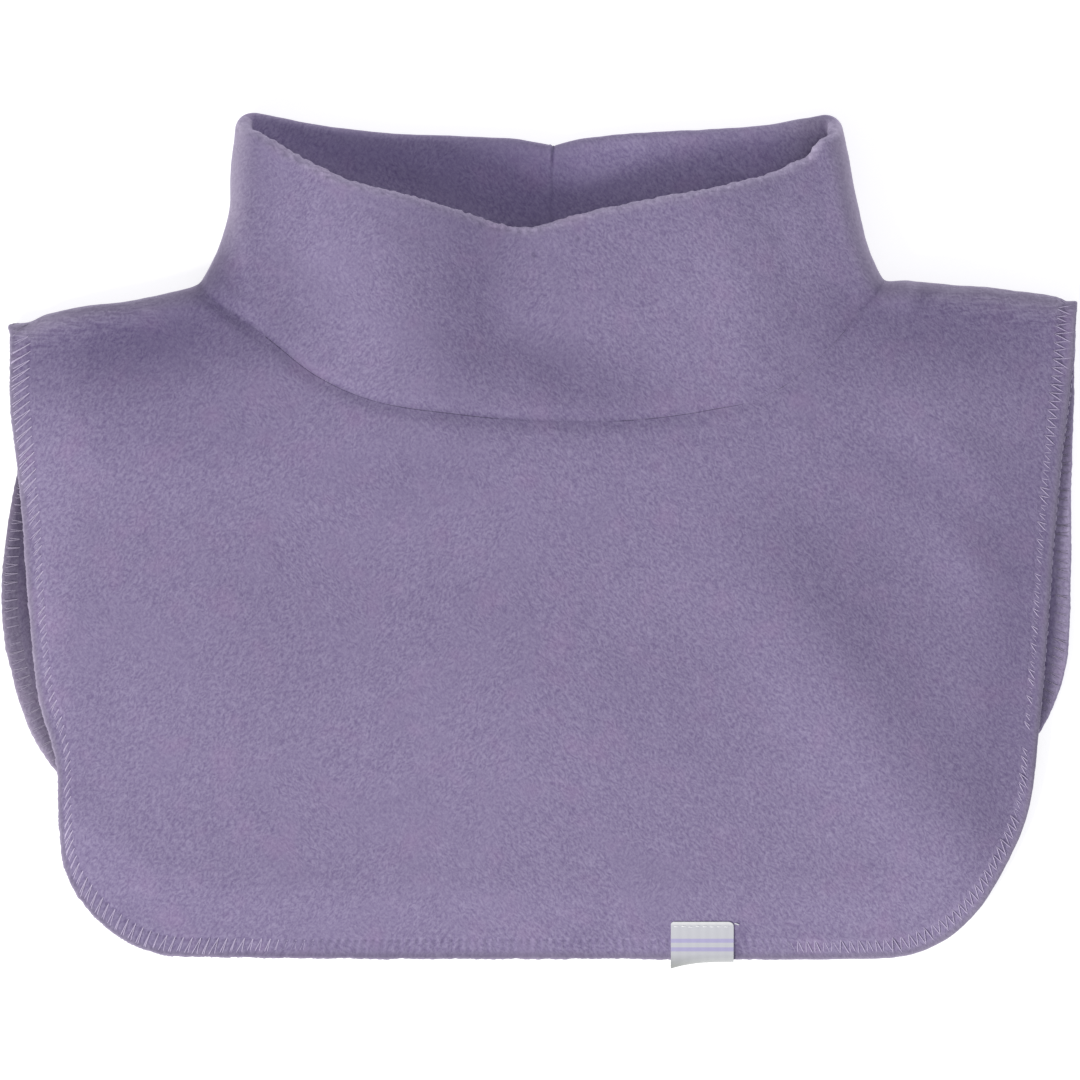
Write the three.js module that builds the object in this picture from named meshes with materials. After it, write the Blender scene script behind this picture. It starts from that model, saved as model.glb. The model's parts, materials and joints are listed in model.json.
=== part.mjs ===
// Neck warmer of polar fleece for a child: a doubled collar on a yoke that covers chest and shoulders.
// It lies flat on its back: front panel up, the shorter back panel under it.
// Millimetres, +Z up from the surface it lies on, +Y toward the collar's opening, and +X to the right
// of someone who looks straight down on it.

import * as THREE from "three";

// Cloth
const PLY = 2.2; // thickness of one layer of fleece
const FOLD_SLOT = 0.5; // space between the two layers of the collar
const SEAM_GAP = 0.3; // clearance between pieces that are sewn together
const CORNER_GAP = 0.2; // more of it at each piece where the seam turns the corner of a side
const LAYER_GAP = 0.6; // space between front and back panel where they lie together
const LABEL_PLY = 0.4; // thickness of the label's satin ribbon
const FLEECE = { color: "#8a7ea0", roughness: 0.95, metalness: 0 };
const SATIN = { color: "#e4e2ec", roughness: 0.45, metalness: 0 };

const HALF_PLY = PLY / 2;
const HALF_WALL = PLY + FOLD_SLOT / 2; // half the thickness of the doubled collar
const LAYER_OFFSET = (PLY + FOLD_SLOT) / 2; // from the middle of the collar's wall to either layer's middle
const SEAM_INSET = HALF_PLY + SEAM_GAP / 2; // from the seam to where a rounded cut edge begins

// Folds
const COLLAR_TURN = 3.8; // reach of the collar's side folds, at the middle of the wall
const SHOULDER_TURN = 2.6; // reach of the shoulder folds, at the middle of the cloth
const SHOULDER_LIFT = 1.2; // how far a shoulder fold holds the front panel up
const SHOULDER_SPREAD = 16; // distance over which that lift dies away
const NECK_SPREAD = 34; // distance over which the yoke comes down from the neck seam
const TURN_SPREAD = 20; // distance over which the wide turn at the neck narrows to the shoulder's
const EASE = 12; // distance over which the yoke is eased to the collar's edge
const QUIET = 8; // distance from a shoulder fold within which no puff rises
const QUIET_SHARE = 0.09; // the same for the collar's side folds, as a share of its width
const BOW_SHARE = 0.12; // share of a panel's width over which the bow of its side dies away
const HEM_DROP = { from: 1, to: 23 }; // distances past the back panel where the front comes down

// Outline of each side seen from above. `along` is the distance from the neck seam, positive out over
// the shoulder and negative up the side of the collar.
const LEFT_SIDE = [
  { along: -51, x: -91.0, y: 122.4 },
  { along: -42, x: -92.1, y: 114.5 },
  { along: -33, x: -92.7, y: 106.5 },
  { along: -24, x: -92.9, y: 99.0 },
  { along: -16, x: -94.7, y: 92.0 },
  { along: -8, x: -97.6, y: 85.0 },
  { along: 0, x: -102.3, y: 78.0 },
  { along: 10, x: -111.5, y: 74.9 },
  { along: 21, x: -122.9, y: 72.2 },
  { along: 33, x: -134.9, y: 70.8 },
  { along: 47, x: -148.5, y: 68.1 },
  { along: 58, x: -159.4, y: 64.8 },
];
const RIGHT_SIDE = [
  { along: -51, x: 90.8, y: 122.4 },
  { along: -42, x: 92.3, y: 115.0 },
  { along: -33, x: 93.6, y: 107.5 },
  { along: -24, x: 95.2, y: 100.0 },
  { along: -16, x: 97.0, y: 92.5 },
  { along: -8, x: 99.6, y: 85.0 },
  { along: 0, x: 103.2, y: 78.8 },
  { along: 9, x: 110.9, y: 78.2 },
  { along: 21, x: 123.1, y: 77.0 },
  { along: 32, x: 133.7, y: 76.1 },
  { along: 45, x: 146.7, y: 74.3 },
  { along: 59, x: 160.8, y: 72.1 },
];

// Collar, a row for each share of its width from left to right: how far up the page the neck seam and
// the top fold lie, and the levels of the middle of the doubled wall there.
const COLLAR_FRONT = [
  { share: 0, seamY: 72.0, topY: 119.9, seamZ: 9.95, topZ: 10.3 },
  { share: 0.08, seamY: 61.3, topY: 110.2, seamZ: 10.6, topZ: 12.9 },
  { share: 0.16, seamY: 49.2, topY: 104.5, seamZ: 11.2, topZ: 15.6 },
  { share: 0.25, seamY: 41.6, topY: 101.5, seamZ: 11.8, topZ: 17.2 },
  { share: 0.375, seamY: 37.6, topY: 94.5, seamZ: 12.3, topZ: 16.6 },
  { share: 0.47, seamY: 35.8, topY: 91.2, seamZ: 12.4, topZ: 15.4 },
  { share: 0.54, seamY: 35.4, topY: 94.0, seamZ: 12.4, topZ: 15.6 },
  { share: 0.64, seamY: 35.9, topY: 98.0, seamZ: 12.3, topZ: 16.8 },
  { share: 0.75, seamY: 38.9, topY: 101.5, seamZ: 11.8, topZ: 17.4 },
  { share: 0.84, seamY: 43.6, topY: 104.8, seamZ: 11.2, topZ: 15.8 },
  { share: 0.92, seamY: 55.3, topY: 108.4, seamZ: 10.6, topZ: 13.0 },
  { share: 1, seamY: 72.7, topY: 119.6, seamZ: 9.95, topZ: 10.3 },
];
const COLLAR_BACK = [
  { share: 0, seamY: 72.0, topY: 125.6 },
  { share: 0.1, seamY: 68.0, topY: 122.1 },
  { share: 0.25, seamY: 64.2, topY: 119.3 },
  { share: 0.5, seamY: 61.2, topY: 118.3 },
  { share: 0.75, seamY: 64.4, topY: 120.2 },
  { share: 0.9, seamY: 68.6, topY: 121.9 },
  { share: 1, seamY: 72.7, topY: 124.9 },
];
// The centre-back seam pulls the top edge down, over this distance to either side
const BACK_SEAM_NOTCH = { x: 4.1, half: 8, drop: 2.7, power: 1.3 };

// Cut edge of the two panels, from the left shoulder down, along the hem and up to the right shoulder
const FRONT_EDGE = [
  { x: -158.8, y: 61.3 },
  { x: -158.9, y: 42.0 },
  { x: -156.5, y: 25.0 },
  { x: -155.2, y: 4.0 },
  { x: -153.3, y: -22.0 },
  { x: -150.5, y: -47.0 },
  { x: -145.1, y: -67.0 },
  { x: -144.4, y: -83.0 },
  { x: -142.0, y: -101.2 },
  { x: -131.0, y: -115.9 },
  { x: -116.4, y: -123.9 },
  { x: -98.0, y: -125.3 },
  { x: -50.0, y: -125.9 },
  { x: 0.0, y: -125.9 },
  { x: 50.0, y: -125.9 },
  { x: 96.0, y: -125.3 },
  { x: 113.5, y: -123.5 },
  { x: 128.0, y: -115.0 },
  { x: 138.9, y: -99.3 },
  { x: 146.5, y: -81.0 },
  { x: 149.7, y: -56.0 },
  { x: 151.9, y: -31.0 },
  { x: 154.0, y: -2.0 },
  { x: 156.4, y: 25.0 },
  { x: 159.2, y: 48.0 },
  { x: 160.9, y: 68.4 },
];
const BACK_EDGE = [
  { x: -158.8, y: 61.3 },
  { x: -158.2, y: 42.0 },
  { x: -156.8, y: 24.0 },
  { x: -159.6, y: 6.0 },
  { x: -161.7, y: -13.0 },
  { x: -160.1, y: -34.0 },
  { x: -152.3, y: -59.0 },
  { x: -139.5, y: -75.5 },
  { x: -114.0, y: -94.0 },
  { x: -90.0, y: -99.4 },
  { x: 0.0, y: -99.8 },
  { x: 90.0, y: -98.6 },
  { x: 114.0, y: -92.0 },
  { x: 140.0, y: -71.0 },
  { x: 151.9, y: -54.5 },
  { x: 157.8, y: -38.5 },
  { x: 159.4, y: -14.0 },
  { x: 159.5, y: 14.0 },
  { x: 160.2, y: 36.0 },
  { x: 160.9, y: 68.4 },
];

// Puffs and hollows of the upper layer: place, half-length, half-width, the turn of its length from +X
// in degrees, and how far it rises
const COLLAR_PUFFS = [
  { x: -44, y: 76, long: 34, wide: 20, turn: 95, rise: 4.2 },
  { x: 66, y: 78, long: 33, wide: 26, turn: 80, rise: 3.6 },
  { x: 6, y: 56, long: 30, wide: 13, turn: -12, rise: -1.2 },
];
const YOKE_PUFFS = [
  { x: -122, y: 38, long: 34, wide: 18, turn: 12, rise: 4.2 },
  { x: 122, y: 36, long: 30, wide: 20, turn: -6, rise: 3.4 },
  { x: -98, y: -22, long: 70, wide: 34, turn: 84, rise: 2.6 },
  { x: 0, y: -34, long: 75, wide: 46, turn: 0, rise: 4.2 },
  { x: 84, y: -34, long: 52, wide: 20, turn: -56, rise: 4.2 },
  { x: 122, y: -88, long: 26, wide: 16, turn: -50, rise: 2.2 },
  { x: 124, y: 26, long: 14, wide: 9, turn: -35, rise: 1.8 },
  { x: 128, y: -4, long: 12, wide: 8, turn: -50, rise: 1.5 },
];

// Satin loop label, folded round the hem
const LABEL = {
  x: 48.8, // middle of its width
  width: 18.6,
  topY: -114.7, // ends of the ribbon on the front and on the back of the hem
  foldLeftY: -128.5, // lowest line of the fold at its left and right corner
  foldRightY: -126.5,
  foldPower: 3, // how soon the fold rises from the left corner to the level of the right one
  clear: 0.1, // level of its underside
  spread: 20, // distance over which the hem rides up on it
};

// Middle of the whole, which comes to stand on the origin
const MIDDLE = { x: 0.05, y: -0.29 };

// Fineness of the mesh, and the steps with which directions are taken
const RING_STEPS = { front: 42, back: 26, turn: 7 };
const LABEL_STEPS = 4;
const YOKE_ROWS = [0, 0.05, 0.13, 0.23, 0.34, 0.46, 0.58, 0.7, 0.8, 0.88, 0.95, 1];
const COLLAR_ROWS = [0, 0.12, 0.28, 0.44, 0.6, 0.76, 0.9, 1];
const SLOT_ROWS = [0, 0.34, 0.67, 1];
const LABEL_ROWS = [0, 0.12, 0.24, 0.34, 0.42, 0.46, 0.5, 0.54, 0.58, 0.66, 0.76, 0.88, 1];
const RIM_ANGLES = [-45, 0, 45]; // degrees round a cut edge
const TOP_ANGLES = [-60, -20, 20, 60]; // degrees round the collar's top fold
const OUTLINE_STEPS = 96;
const SIDE_STEP = 7; // millimetres along a side
const SHARE_STEP = 0.002; // share of an edge's length or of a piece's depth

const radians = THREE.MathUtils.degToRad;
const mix = THREE.MathUtils.lerp;

function bell(distance, spread) {
  return Math.exp(-((distance / spread) ** 2));
}

// Value of one column of a table at a place in its first: a cubic through the rows. A level table
// starts and ends without slope.
function lookUp(rows, key, place, column, level = false) {
  const last = rows.length - 1;
  let i = 0;
  while (i < last - 1 && place > rows[i + 1][key]) i += 1;
  const slopeAt = (k) => {
    if (level && (k === 0 || k === last)) return 0;
    const before = rows[Math.max(k - 1, 0)];
    const after = rows[Math.min(k + 1, last)];
    return (after[column] - before[column]) / (after[key] - before[key]);
  };
  const width = rows[i + 1][key] - rows[i][key];
  const t = (place - rows[i][key]) / width;
  const rise = (1 - t) * (1 - t) * t * slopeAt(i) - t * t * (1 - t) * slopeAt(i + 1);
  const ease = t * t * (3 - 2 * t);
  return mix(rows[i][column], rows[i + 1][column], ease) + rise * width;
}

// The same outline with each row's share of the whole length
function measured(rows) {
  const reach = [0];
  for (let i = 1; i < rows.length; i += 1) {
    reach.push(reach[i - 1] + Math.hypot(rows[i].x - rows[i - 1].x, rows[i].y - rows[i - 1].y));
  }
  return rows.map((row, i) => ({ ...row, share: reach[i] / reach[rows.length - 1] }));
}

// Point of a path at a place in its key column, and the unit direction in which it runs there
function pathPoint(rows, key, place) {
  return new THREE.Vector2(lookUp(rows, key, place, "x"), lookUp(rows, key, place, "y"));
}

function pathRun(rows, key, place, step) {
  return pathPoint(rows, key, place + step).sub(pathPoint(rows, key, place - step)).normalize();
}

// A side of the neck warmer: its outline, its reach past the fold's axis and the side it turns to
const SIDES = {
  left: { rows: LEFT_SIDE, outward: 1 },
  right: { rows: RIGHT_SIDE, outward: -1 },
};

function turnReach(along) {
  const atNeck = COLLAR_TURN + LAYER_OFFSET;
  return mix(atNeck, SHOULDER_TURN, THREE.MathUtils.smoothstep(along, 0, TURN_SPREAD));
}

// Horizontal direction that faces out of the side at right angles to it
function sideOutward(side, along) {
  const run = pathRun(side.rows, "along", along, SIDE_STEP);
  return new THREE.Vector2(run.y, -run.x).multiplyScalar(side.outward);
}

// Axis of the side fold of the collar or, past the seam, of the shoulder
function sideAxis(side, along) {
  const inset = along < 0 ? COLLAR_TURN + HALF_WALL : turnReach(along) + HALF_PLY;
  return pathPoint(side.rows, "along", along).addScaledVector(sideOutward(side, along), -inset);
}

// How far the axis bows from the straight line between its ends at a share of its length
function sideBow(side, endAlong, share) {
  const straight = sideAxis(side, 0).lerp(sideAxis(side, endAlong), share);
  return sideAxis(side, endAlong * share).sub(straight);
}

// The bow of both sides, dying away toward the middle of a panel
function bowAt(endRow, width, share) {
  const left = sideBow(SIDES.left, SIDES.left.rows.at(endRow).along, share);
  const right = sideBow(SIDES.right, SIDES.right.rows.at(endRow).along, share);
  return left.multiplyScalar(bell(width, BOW_SHARE)).addScaledVector(right, bell(1 - width, BOW_SHARE));
}

function puffHeight(puffs, x, y) {
  let height = 0;
  for (const puff of puffs) {
    const turn = radians(puff.turn);
    const along = (x - puff.x) * Math.cos(turn) + (y - puff.y) * Math.sin(turn);
    const across = (y - puff.y) * Math.cos(turn) - (x - puff.x) * Math.sin(turn);
    height += puff.rise * bell(Math.hypot(along / puff.long, across / puff.wide), 1);
  }
  return height;
}

// Places round the ring: the front from left to right, the right side fold, the back from right to
// left and the left side fold. `turn` runs from 0 at the front layer to pi at the back layer.
function ringPlaces() {
  const { front, back, turn } = RING_STEPS;
  const places = [];
  for (let i = 0; i <= front; i += 1) places.push({ panel: "front", width: i / front });
  for (let i = 1; i < turn; i += 1) places.push({ side: "right", turn: (Math.PI * i) / turn });
  for (let i = back; i >= 0; i -= 1) places.push({ panel: "back", width: i / back });
  for (let i = turn - 1; i > 0; i -= 1) places.push({ side: "left", turn: (Math.PI * i) / turn });
  return places;
}

// Half an ellipse from an upper point over a side's outward direction to a lower point
function turnedPoint(upper, lower, outward, reach, turn) {
  const point = upper.clone().lerp(lower, (1 - Math.cos(turn)) / 2);
  point.x += outward.x * reach * Math.sin(turn);
  point.y += outward.y * reach * Math.sin(turn);
  return point;
}

// Middle of the collar's doubled wall, at a share of its width and of its height above the seam
function collarPanelPoint(panel, width, height) {
  const rows = panel === "front" ? COLLAR_FRONT : COLLAR_BACK;
  const along = LEFT_SIDE[0].along * height;
  const x = mix(sideAxis(SIDES.left, along).x, sideAxis(SIDES.right, along).x, width);
  let y = mix(lookUp(rows, "share", width, "seamY"), lookUp(rows, "share", width, "topY"), height);
  y += bowAt(0, width, height).y;
  if (panel === "back") {
    const beside = Math.abs(x - BACK_SEAM_NOTCH.x) / BACK_SEAM_NOTCH.half;
    y -= BACK_SEAM_NOTCH.drop * Math.exp(-(beside ** BACK_SEAM_NOTCH.power)) * height ** 4;
    return new THREE.Vector3(x, y, HALF_WALL);
  }
  const seamZ = lookUp(rows, "share", width, "seamZ", true);
  const topZ = lookUp(rows, "share", width, "topZ", true);
  const quiet = 1 - bell(width, QUIET_SHARE) - bell(1 - width, QUIET_SHARE);
  return new THREE.Vector3(x, y, mix(seamZ, topZ, height) + quiet * puffHeight(COLLAR_PUFFS, x, y));
}

function collarPoint(place, height) {
  if (place.panel) return collarPanelPoint(place.panel, place.width, height);
  const width = place.side === "left" ? 0 : 1;
  const upper = collarPanelPoint("front", width, height);
  const lower = collarPanelPoint("back", width, height);
  const outward = sideOutward(SIDES[place.side], LEFT_SIDE[0].along * height);
  return turnedPoint(upper, lower, outward, COLLAR_TURN, place.turn);
}

// Neck seam: the middle of the collar's outer layer at its lower edge
function seamPoint(place) {
  const key = place.panel ? "width" : "turn";
  const step = place.panel === "back" || place.side === "left" ? -SHARE_STEP : SHARE_STEP;
  const ahead = collarPoint({ ...place, [key]: place[key] + step }, 0);
  const behind = collarPoint({ ...place, [key]: place[key] - step }, 0);
  const up = collarPoint(place, SHARE_STEP).sub(collarPoint(place, 0));
  const normal = ahead.sub(behind).cross(up).normalize();
  return collarPoint(place, 0).addScaledVector(normal, LAYER_OFFSET);
}

const EDGES = { front: measured(FRONT_EDGE), back: measured(BACK_EDGE) };

// Distance of a point outside the back panel, negative within it
const backOutline = [];
for (let i = 0; i <= OUTLINE_STEPS; i += 1) {
  backOutline.push(pathPoint(EDGES.back, "share", i / OUTLINE_STEPS));
}
backOutline.push(new THREE.Vector2(0, 2 * EDGES.back[0].y));

function outsideBack(x, y) {
  const point = new THREE.Vector2(x, y);
  let nearest = Infinity;
  let within = false;
  backOutline.forEach((start, i) => {
    const end = backOutline[(i + 1) % backOutline.length];
    const run = end.clone().sub(start);
    const share = THREE.MathUtils.clamp(point.clone().sub(start).dot(run) / run.lengthSq(), 0, 1);
    nearest = Math.min(nearest, start.clone().addScaledVector(run, share).distanceTo(point));
    const crosses = start.y > y !== end.y > y;
    if (crosses && x < start.x + ((y - start.y) / run.y) * run.x) within = !within;
  });
  return within ? -nearest : nearest;
}

// Level of the front panel away from neck and shoulders: on the back panel, then down on the surface,
// and lifted a little where the label passes under the hem
function frontLevel(x, y) {
  const fall = THREE.MathUtils.smoothstep(outsideBack(x, y), HEM_DROP.from, HEM_DROP.to);
  const underLabel = LABEL_PLY + SEAM_GAP + LABEL.clear;
  const ride = underLabel * bell(Math.max(Math.abs(x - LABEL.x) - LABEL.width / 2, 0), LABEL.spread) * fall;
  return HALF_PLY + (PLY + LAYER_GAP) * (1 - fall) + ride;
}

// Plan of a panel: a ray from the neck seam to the cut edge, bowed as the shoulders are
function yokePlan(panel, width, share) {
  const seam = seamPoint({ panel, width });
  const edge = pathPoint(EDGES[panel], "share", width);
  const within = THREE.MathUtils.clamp(width, SHARE_STEP, 1 - SHARE_STEP);
  const run = pathRun(EDGES[panel], "share", within, SHARE_STEP);
  edge.add(new THREE.Vector2(-run.y, run.x).multiplyScalar(HALF_PLY));
  const plan = new THREE.Vector2(seam.x, seam.y).lerp(edge, share);
  return plan.add(bowAt(-1, width, share));
}

function yokeBase(width, share, plan) {
  const near = (atWidth, side) => plan.distanceTo(yokePlan("front", atWidth, share));
  const left = near(0);
  const right = near(1);
  const lift = SHOULDER_LIFT * (bell(left, SHOULDER_SPREAD) + bell(right, SHOULDER_SPREAD));
  const quiet = (1 - bell(left, QUIET)) * (1 - bell(right, QUIET));
  return frontLevel(plan.x, plan.y) + lift + quiet * puffHeight(YOKE_PUFFS, plan.x, plan.y);
}

function yokePanelPoint(panel, width, share) {
  const plan = yokePlan(panel, width, share);
  if (panel === "back") return new THREE.Vector3(plan.x, plan.y, HALF_PLY);
  const seam = seamPoint({ panel, width });
  const start = yokePlan(panel, width, 0);
  const neckLift = seam.z - yokeBase(width, 0, start);
  const level = yokeBase(width, share, plan) + neckLift * bell(plan.distanceTo(start), NECK_SPREAD);
  return new THREE.Vector3(plan.x, plan.y, level);
}

// Middle of the yoke's cloth at a place round the ring and a share of the way from seam to cut edge
function yokePoint(place, share) {
  if (place.panel) return yokePanelPoint(place.panel, place.width, share);
  const side = SIDES[place.side];
  const width = place.side === "left" ? 0 : 1;
  const along = side.rows.at(-1).along * share;
  const turned = (part, reach) => turnedPoint(
    yokePanelPoint("front", width, part),
    yokePanelPoint("back", width, part),
    sideOutward(side, side.rows.at(-1).along * part),
    reach,
    place.turn,
  );
  const ease = seamPoint(place).sub(turned(0, turnReach(0))).multiplyScalar(bell(along, EASE));
  return turned(share, turnReach(along)).add(ease);
}

// Direction along a row of points through the middle one, whatever their spacing
function runThrough(before, point, after) {
  const back = point.clone().sub(before);
  const on = after.clone().sub(point);
  if (back.lengthSq() === 0) return on;
  if (on.lengthSq() === 0) return back;
  const ratio = on.length() / back.length();
  return back.multiplyScalar(ratio).addScaledVector(on, 1 / ratio);
}

// Each point of a grid with its outward normal and the direction square to its row, away from the first
function framed(grid, outward) {
  const count = grid.length;
  return grid.map((line, i) => line.map((point, j) => {
    const round = runThrough(grid[(i + count - 1) % count][j], point, grid[(i + 1) % count][j]);
    const before = line[Math.max(j - 1, 0)];
    const after = line[Math.min(j + 1, line.length - 1)];
    const turned = round.clone().cross(runThrough(before, point, after)).normalize();
    return { point, normal: turned.clone().multiplyScalar(outward), away: turned.cross(round).normalize() };
  }));
}

// Share of a line's length at which a piece begins, so that its rounded edge stays clear of the seam
function shareAtSeam(pointAt, place) {
  const key = place.panel ? "width" : "turn";
  const start = pointAt(place, 0);
  const along = pointAt(place, SHARE_STEP).sub(start);
  const beside = { ...place, [key]: Math.abs(place[key] - SHARE_STEP) };
  const round = pointAt(beside, 0).sub(start).normalize();
  const inset = SEAM_INSET + CORNER_GAP * Math.sin(place.turn ?? 0);
  return (inset * SHARE_STEP) / along.cross(round).length();
}

function raised(frame, height) {
  return frame.point.clone().addScaledVector(frame.normal, height);
}

// Rounded end of a layer: an arc about its middle, from its inner face to its outer face
function roundedEnd(frame, middle, radius, heading, angles) {
  return angles.map((degrees) => {
    const angle = radians(degrees);
    const point = raised(frame, middle + radius * Math.sin(angle));
    return point.addScaledVector(frame.away, heading * radius * Math.cos(angle));
  });
}

// Closed skin over a row of closed sections, which goes round a ring or ends in two flat caps. The
// second half of an end's section lies under its first half, in reverse.
function closedSkin(sections, ring) {
  const size = sections[0].length;
  const last = sections.length - 1;
  const vertices = [];
  const faces = [];
  const quad = (a, b, c, d) => faces.push(a, b, c, a, c, d);
  sections.flat().forEach((point) => vertices.push(point.x, point.y, point.z));
  for (let i = 0; i < (ring ? sections.length : last); i += 1) {
    const next = (i + 1) % sections.length;
    for (let k = 0; k < size; k += 1) {
      const after = (k + 1) % size;
      quad(i * size + k, next * size + k, next * size + after, i * size + after);
    }
  }
  for (let k = 0; !ring && k < size / 2 - 1; k += 1) {
    const [near, far] = [size - 1 - k, size - 2 - k];
    quad(k, k + 1, far, near);
    quad(last * size + near, last * size + far, last * size + k + 1, last * size + k);
  }
  const geometry = new THREE.BufferGeometry();
  geometry.setAttribute("position", new THREE.Float32BufferAttribute(vertices, 3));
  geometry.setIndex(faces);
  return geometry;
}

function clothPiece(name, geometry, cloth) {
  geometry.computeVertexNormals();
  const mesh = new THREE.Mesh(geometry, new THREE.MeshStandardMaterial(cloth));
  mesh.name = name;
  return mesh;
}

// The yoke: one layer with a rounded edge at the neck and at the cut edge
function makeYoke() {
  const grid = ringPlaces().map((place) => {
    const first = shareAtSeam(yokePoint, place);
    return YOKE_ROWS.map((row) => yokePoint(place, mix(first, 1, row)));
  });
  const sections = framed(grid, -1).map((line) => {
    const upper = line.map((frame) => raised(frame, HALF_PLY));
    const lower = line.map((frame) => raised(frame, -HALF_PLY)).reverse();
    const cut = roundedEnd(line.at(-1), 0, HALF_PLY, 1, RIM_ANGLES).reverse();
    const neck = roundedEnd(line[0], 0, HALF_PLY, -1, RIM_ANGLES);
    return [...upper, ...cut, ...lower, ...neck].reverse();
  });
  return clothPiece("yoke", closedSkin(sections, true), FLEECE);
}

// The collar: two layers that share the fold at the top, open below
function makeCollar() {
  const places = ringPlaces();
  const linesOf = (rows) => framed(places.map((place) => {
    const first = shareAtSeam(collarPoint, place);
    return rows.map((row) => collarPoint(place, mix(first, 1, row)));
  }), 1);
  const walls = linesOf(COLLAR_ROWS);
  const slots = linesOf(SLOT_ROWS);
  const sections = walls.map((line, i) => {
    const outer = line.map((frame) => raised(frame, HALF_WALL));
    const inner = line.map((frame) => raised(frame, -HALF_WALL)).reverse();
    const top = roundedEnd(line.at(-1), 0, HALF_WALL, 1, TOP_ANGLES).reverse();
    const innerEnd = roundedEnd(line[0], -LAYER_OFFSET, HALF_PLY, -1, RIM_ANGLES);
    const slotUp = slots[i].map((frame) => raised(frame, -FOLD_SLOT / 2));
    const slotTop = roundedEnd(line.at(-1), 0, FOLD_SLOT / 2, 1, [0]);
    const slotDown = slots[i].map((frame) => raised(frame, FOLD_SLOT / 2)).reverse();
    const outerEnd = roundedEnd(line[0], LAYER_OFFSET, HALF_PLY, -1, RIM_ANGLES);
    return [...outer, ...top, ...inner, ...innerEnd, ...slotUp, ...slotTop, ...slotDown, ...outerEnd];
  });
  return clothPiece("collar", closedSkin(sections, true), FLEECE);
}

// Middle of the label's ribbon at a share of its width and of its length, which runs from the front
// round the hem to the back. It follows the hem's upper face and lies flat below it.
function labelPoint(width, length) {
  const x = LABEL.x + (width - 0.5) * LABEL.width;
  const risen = 1 - (1 - width) ** LABEL.foldPower;
  const foldY = mix(LABEL.foldLeftY, LABEL.foldRightY, risen) + LABEL_PLY / 2;
  const upperAt = (y) => frontLevel(x, y) + HALF_PLY + SEAM_GAP + LABEL_PLY / 2;
  const lower = LABEL.clear + LABEL_PLY / 2;
  const middle = (upperAt(foldY) + lower) / 2;
  const reach = (upperAt(foldY) - lower) / 2;
  const run = LABEL.topY - foldY - reach;
  const flat = run / (2 * run + Math.PI * reach);
  const fromEnd = Math.min(length, 1 - length);
  if (fromEnd <= flat) {
    const y = mix(LABEL.topY, foldY + reach, fromEnd / flat);
    return new THREE.Vector3(x, y, length < 0.5 ? upperAt(y) : lower);
  }
  const turn = (Math.PI * (length - flat)) / (1 - 2 * flat);
  return new THREE.Vector3(x, foldY + reach * (1 - Math.sin(turn)), middle + reach * Math.cos(turn));
}

// The label: a folded ribbon with square edges
function makeLabel() {
  const grid = [];
  for (let i = 0; i <= LABEL_STEPS; i += 1) {
    grid.push(LABEL_ROWS.map((row) => labelPoint(i / LABEL_STEPS, row)));
  }
  const face = (side) => grid.map((line, i) => line.map((point, j) => {
    const before = grid[Math.max(i - 1, 0)];
    const after = grid[Math.min(i + 1, LABEL_STEPS)];
    const across = runThrough(before[j], point, after[j]);
    const along = runThrough(line[Math.max(j - 1, 0)], point, line[Math.min(j + 1, line.length - 1)]);
    const normal = along.cross(across).normalize();
    return point.clone().addScaledVector(normal, (side * LABEL_PLY) / 2);
  }));
  const outer = face(1);
  const inner = face(-1);
  const loops = outer.map((line, i) => [...inner[i], ...line.slice().reverse()]);
  return clothPiece("label", closedSkin(loops, false), SATIN);
}

const group = new THREE.Group();
group.add(makeYoke(), makeCollar(), makeLabel());
group.position.set(-MIDDLE.x, -MIDDLE.y, 0);

export default group;
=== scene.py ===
# %% [markdown]
# # A child's neck warmer in polar fleece
# The real one is cut from one soft knitted cloth. A yoke with a hole for the head lies over the chest and
# the back, and a strip folded double stands up from the hole as a collar. A machine with three threads
# binds the outer edge, and a folded ribbon hangs on the hem as a label.
# The neck warmer lies flat on its back, so its shape is that of two layers which meet at folds left and
# right. Cloth simulation could drop it on the floor, but it would lose the outline that the real one
# keeps. So every surface here is worked out by formula, on the frame that the solids give.

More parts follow.
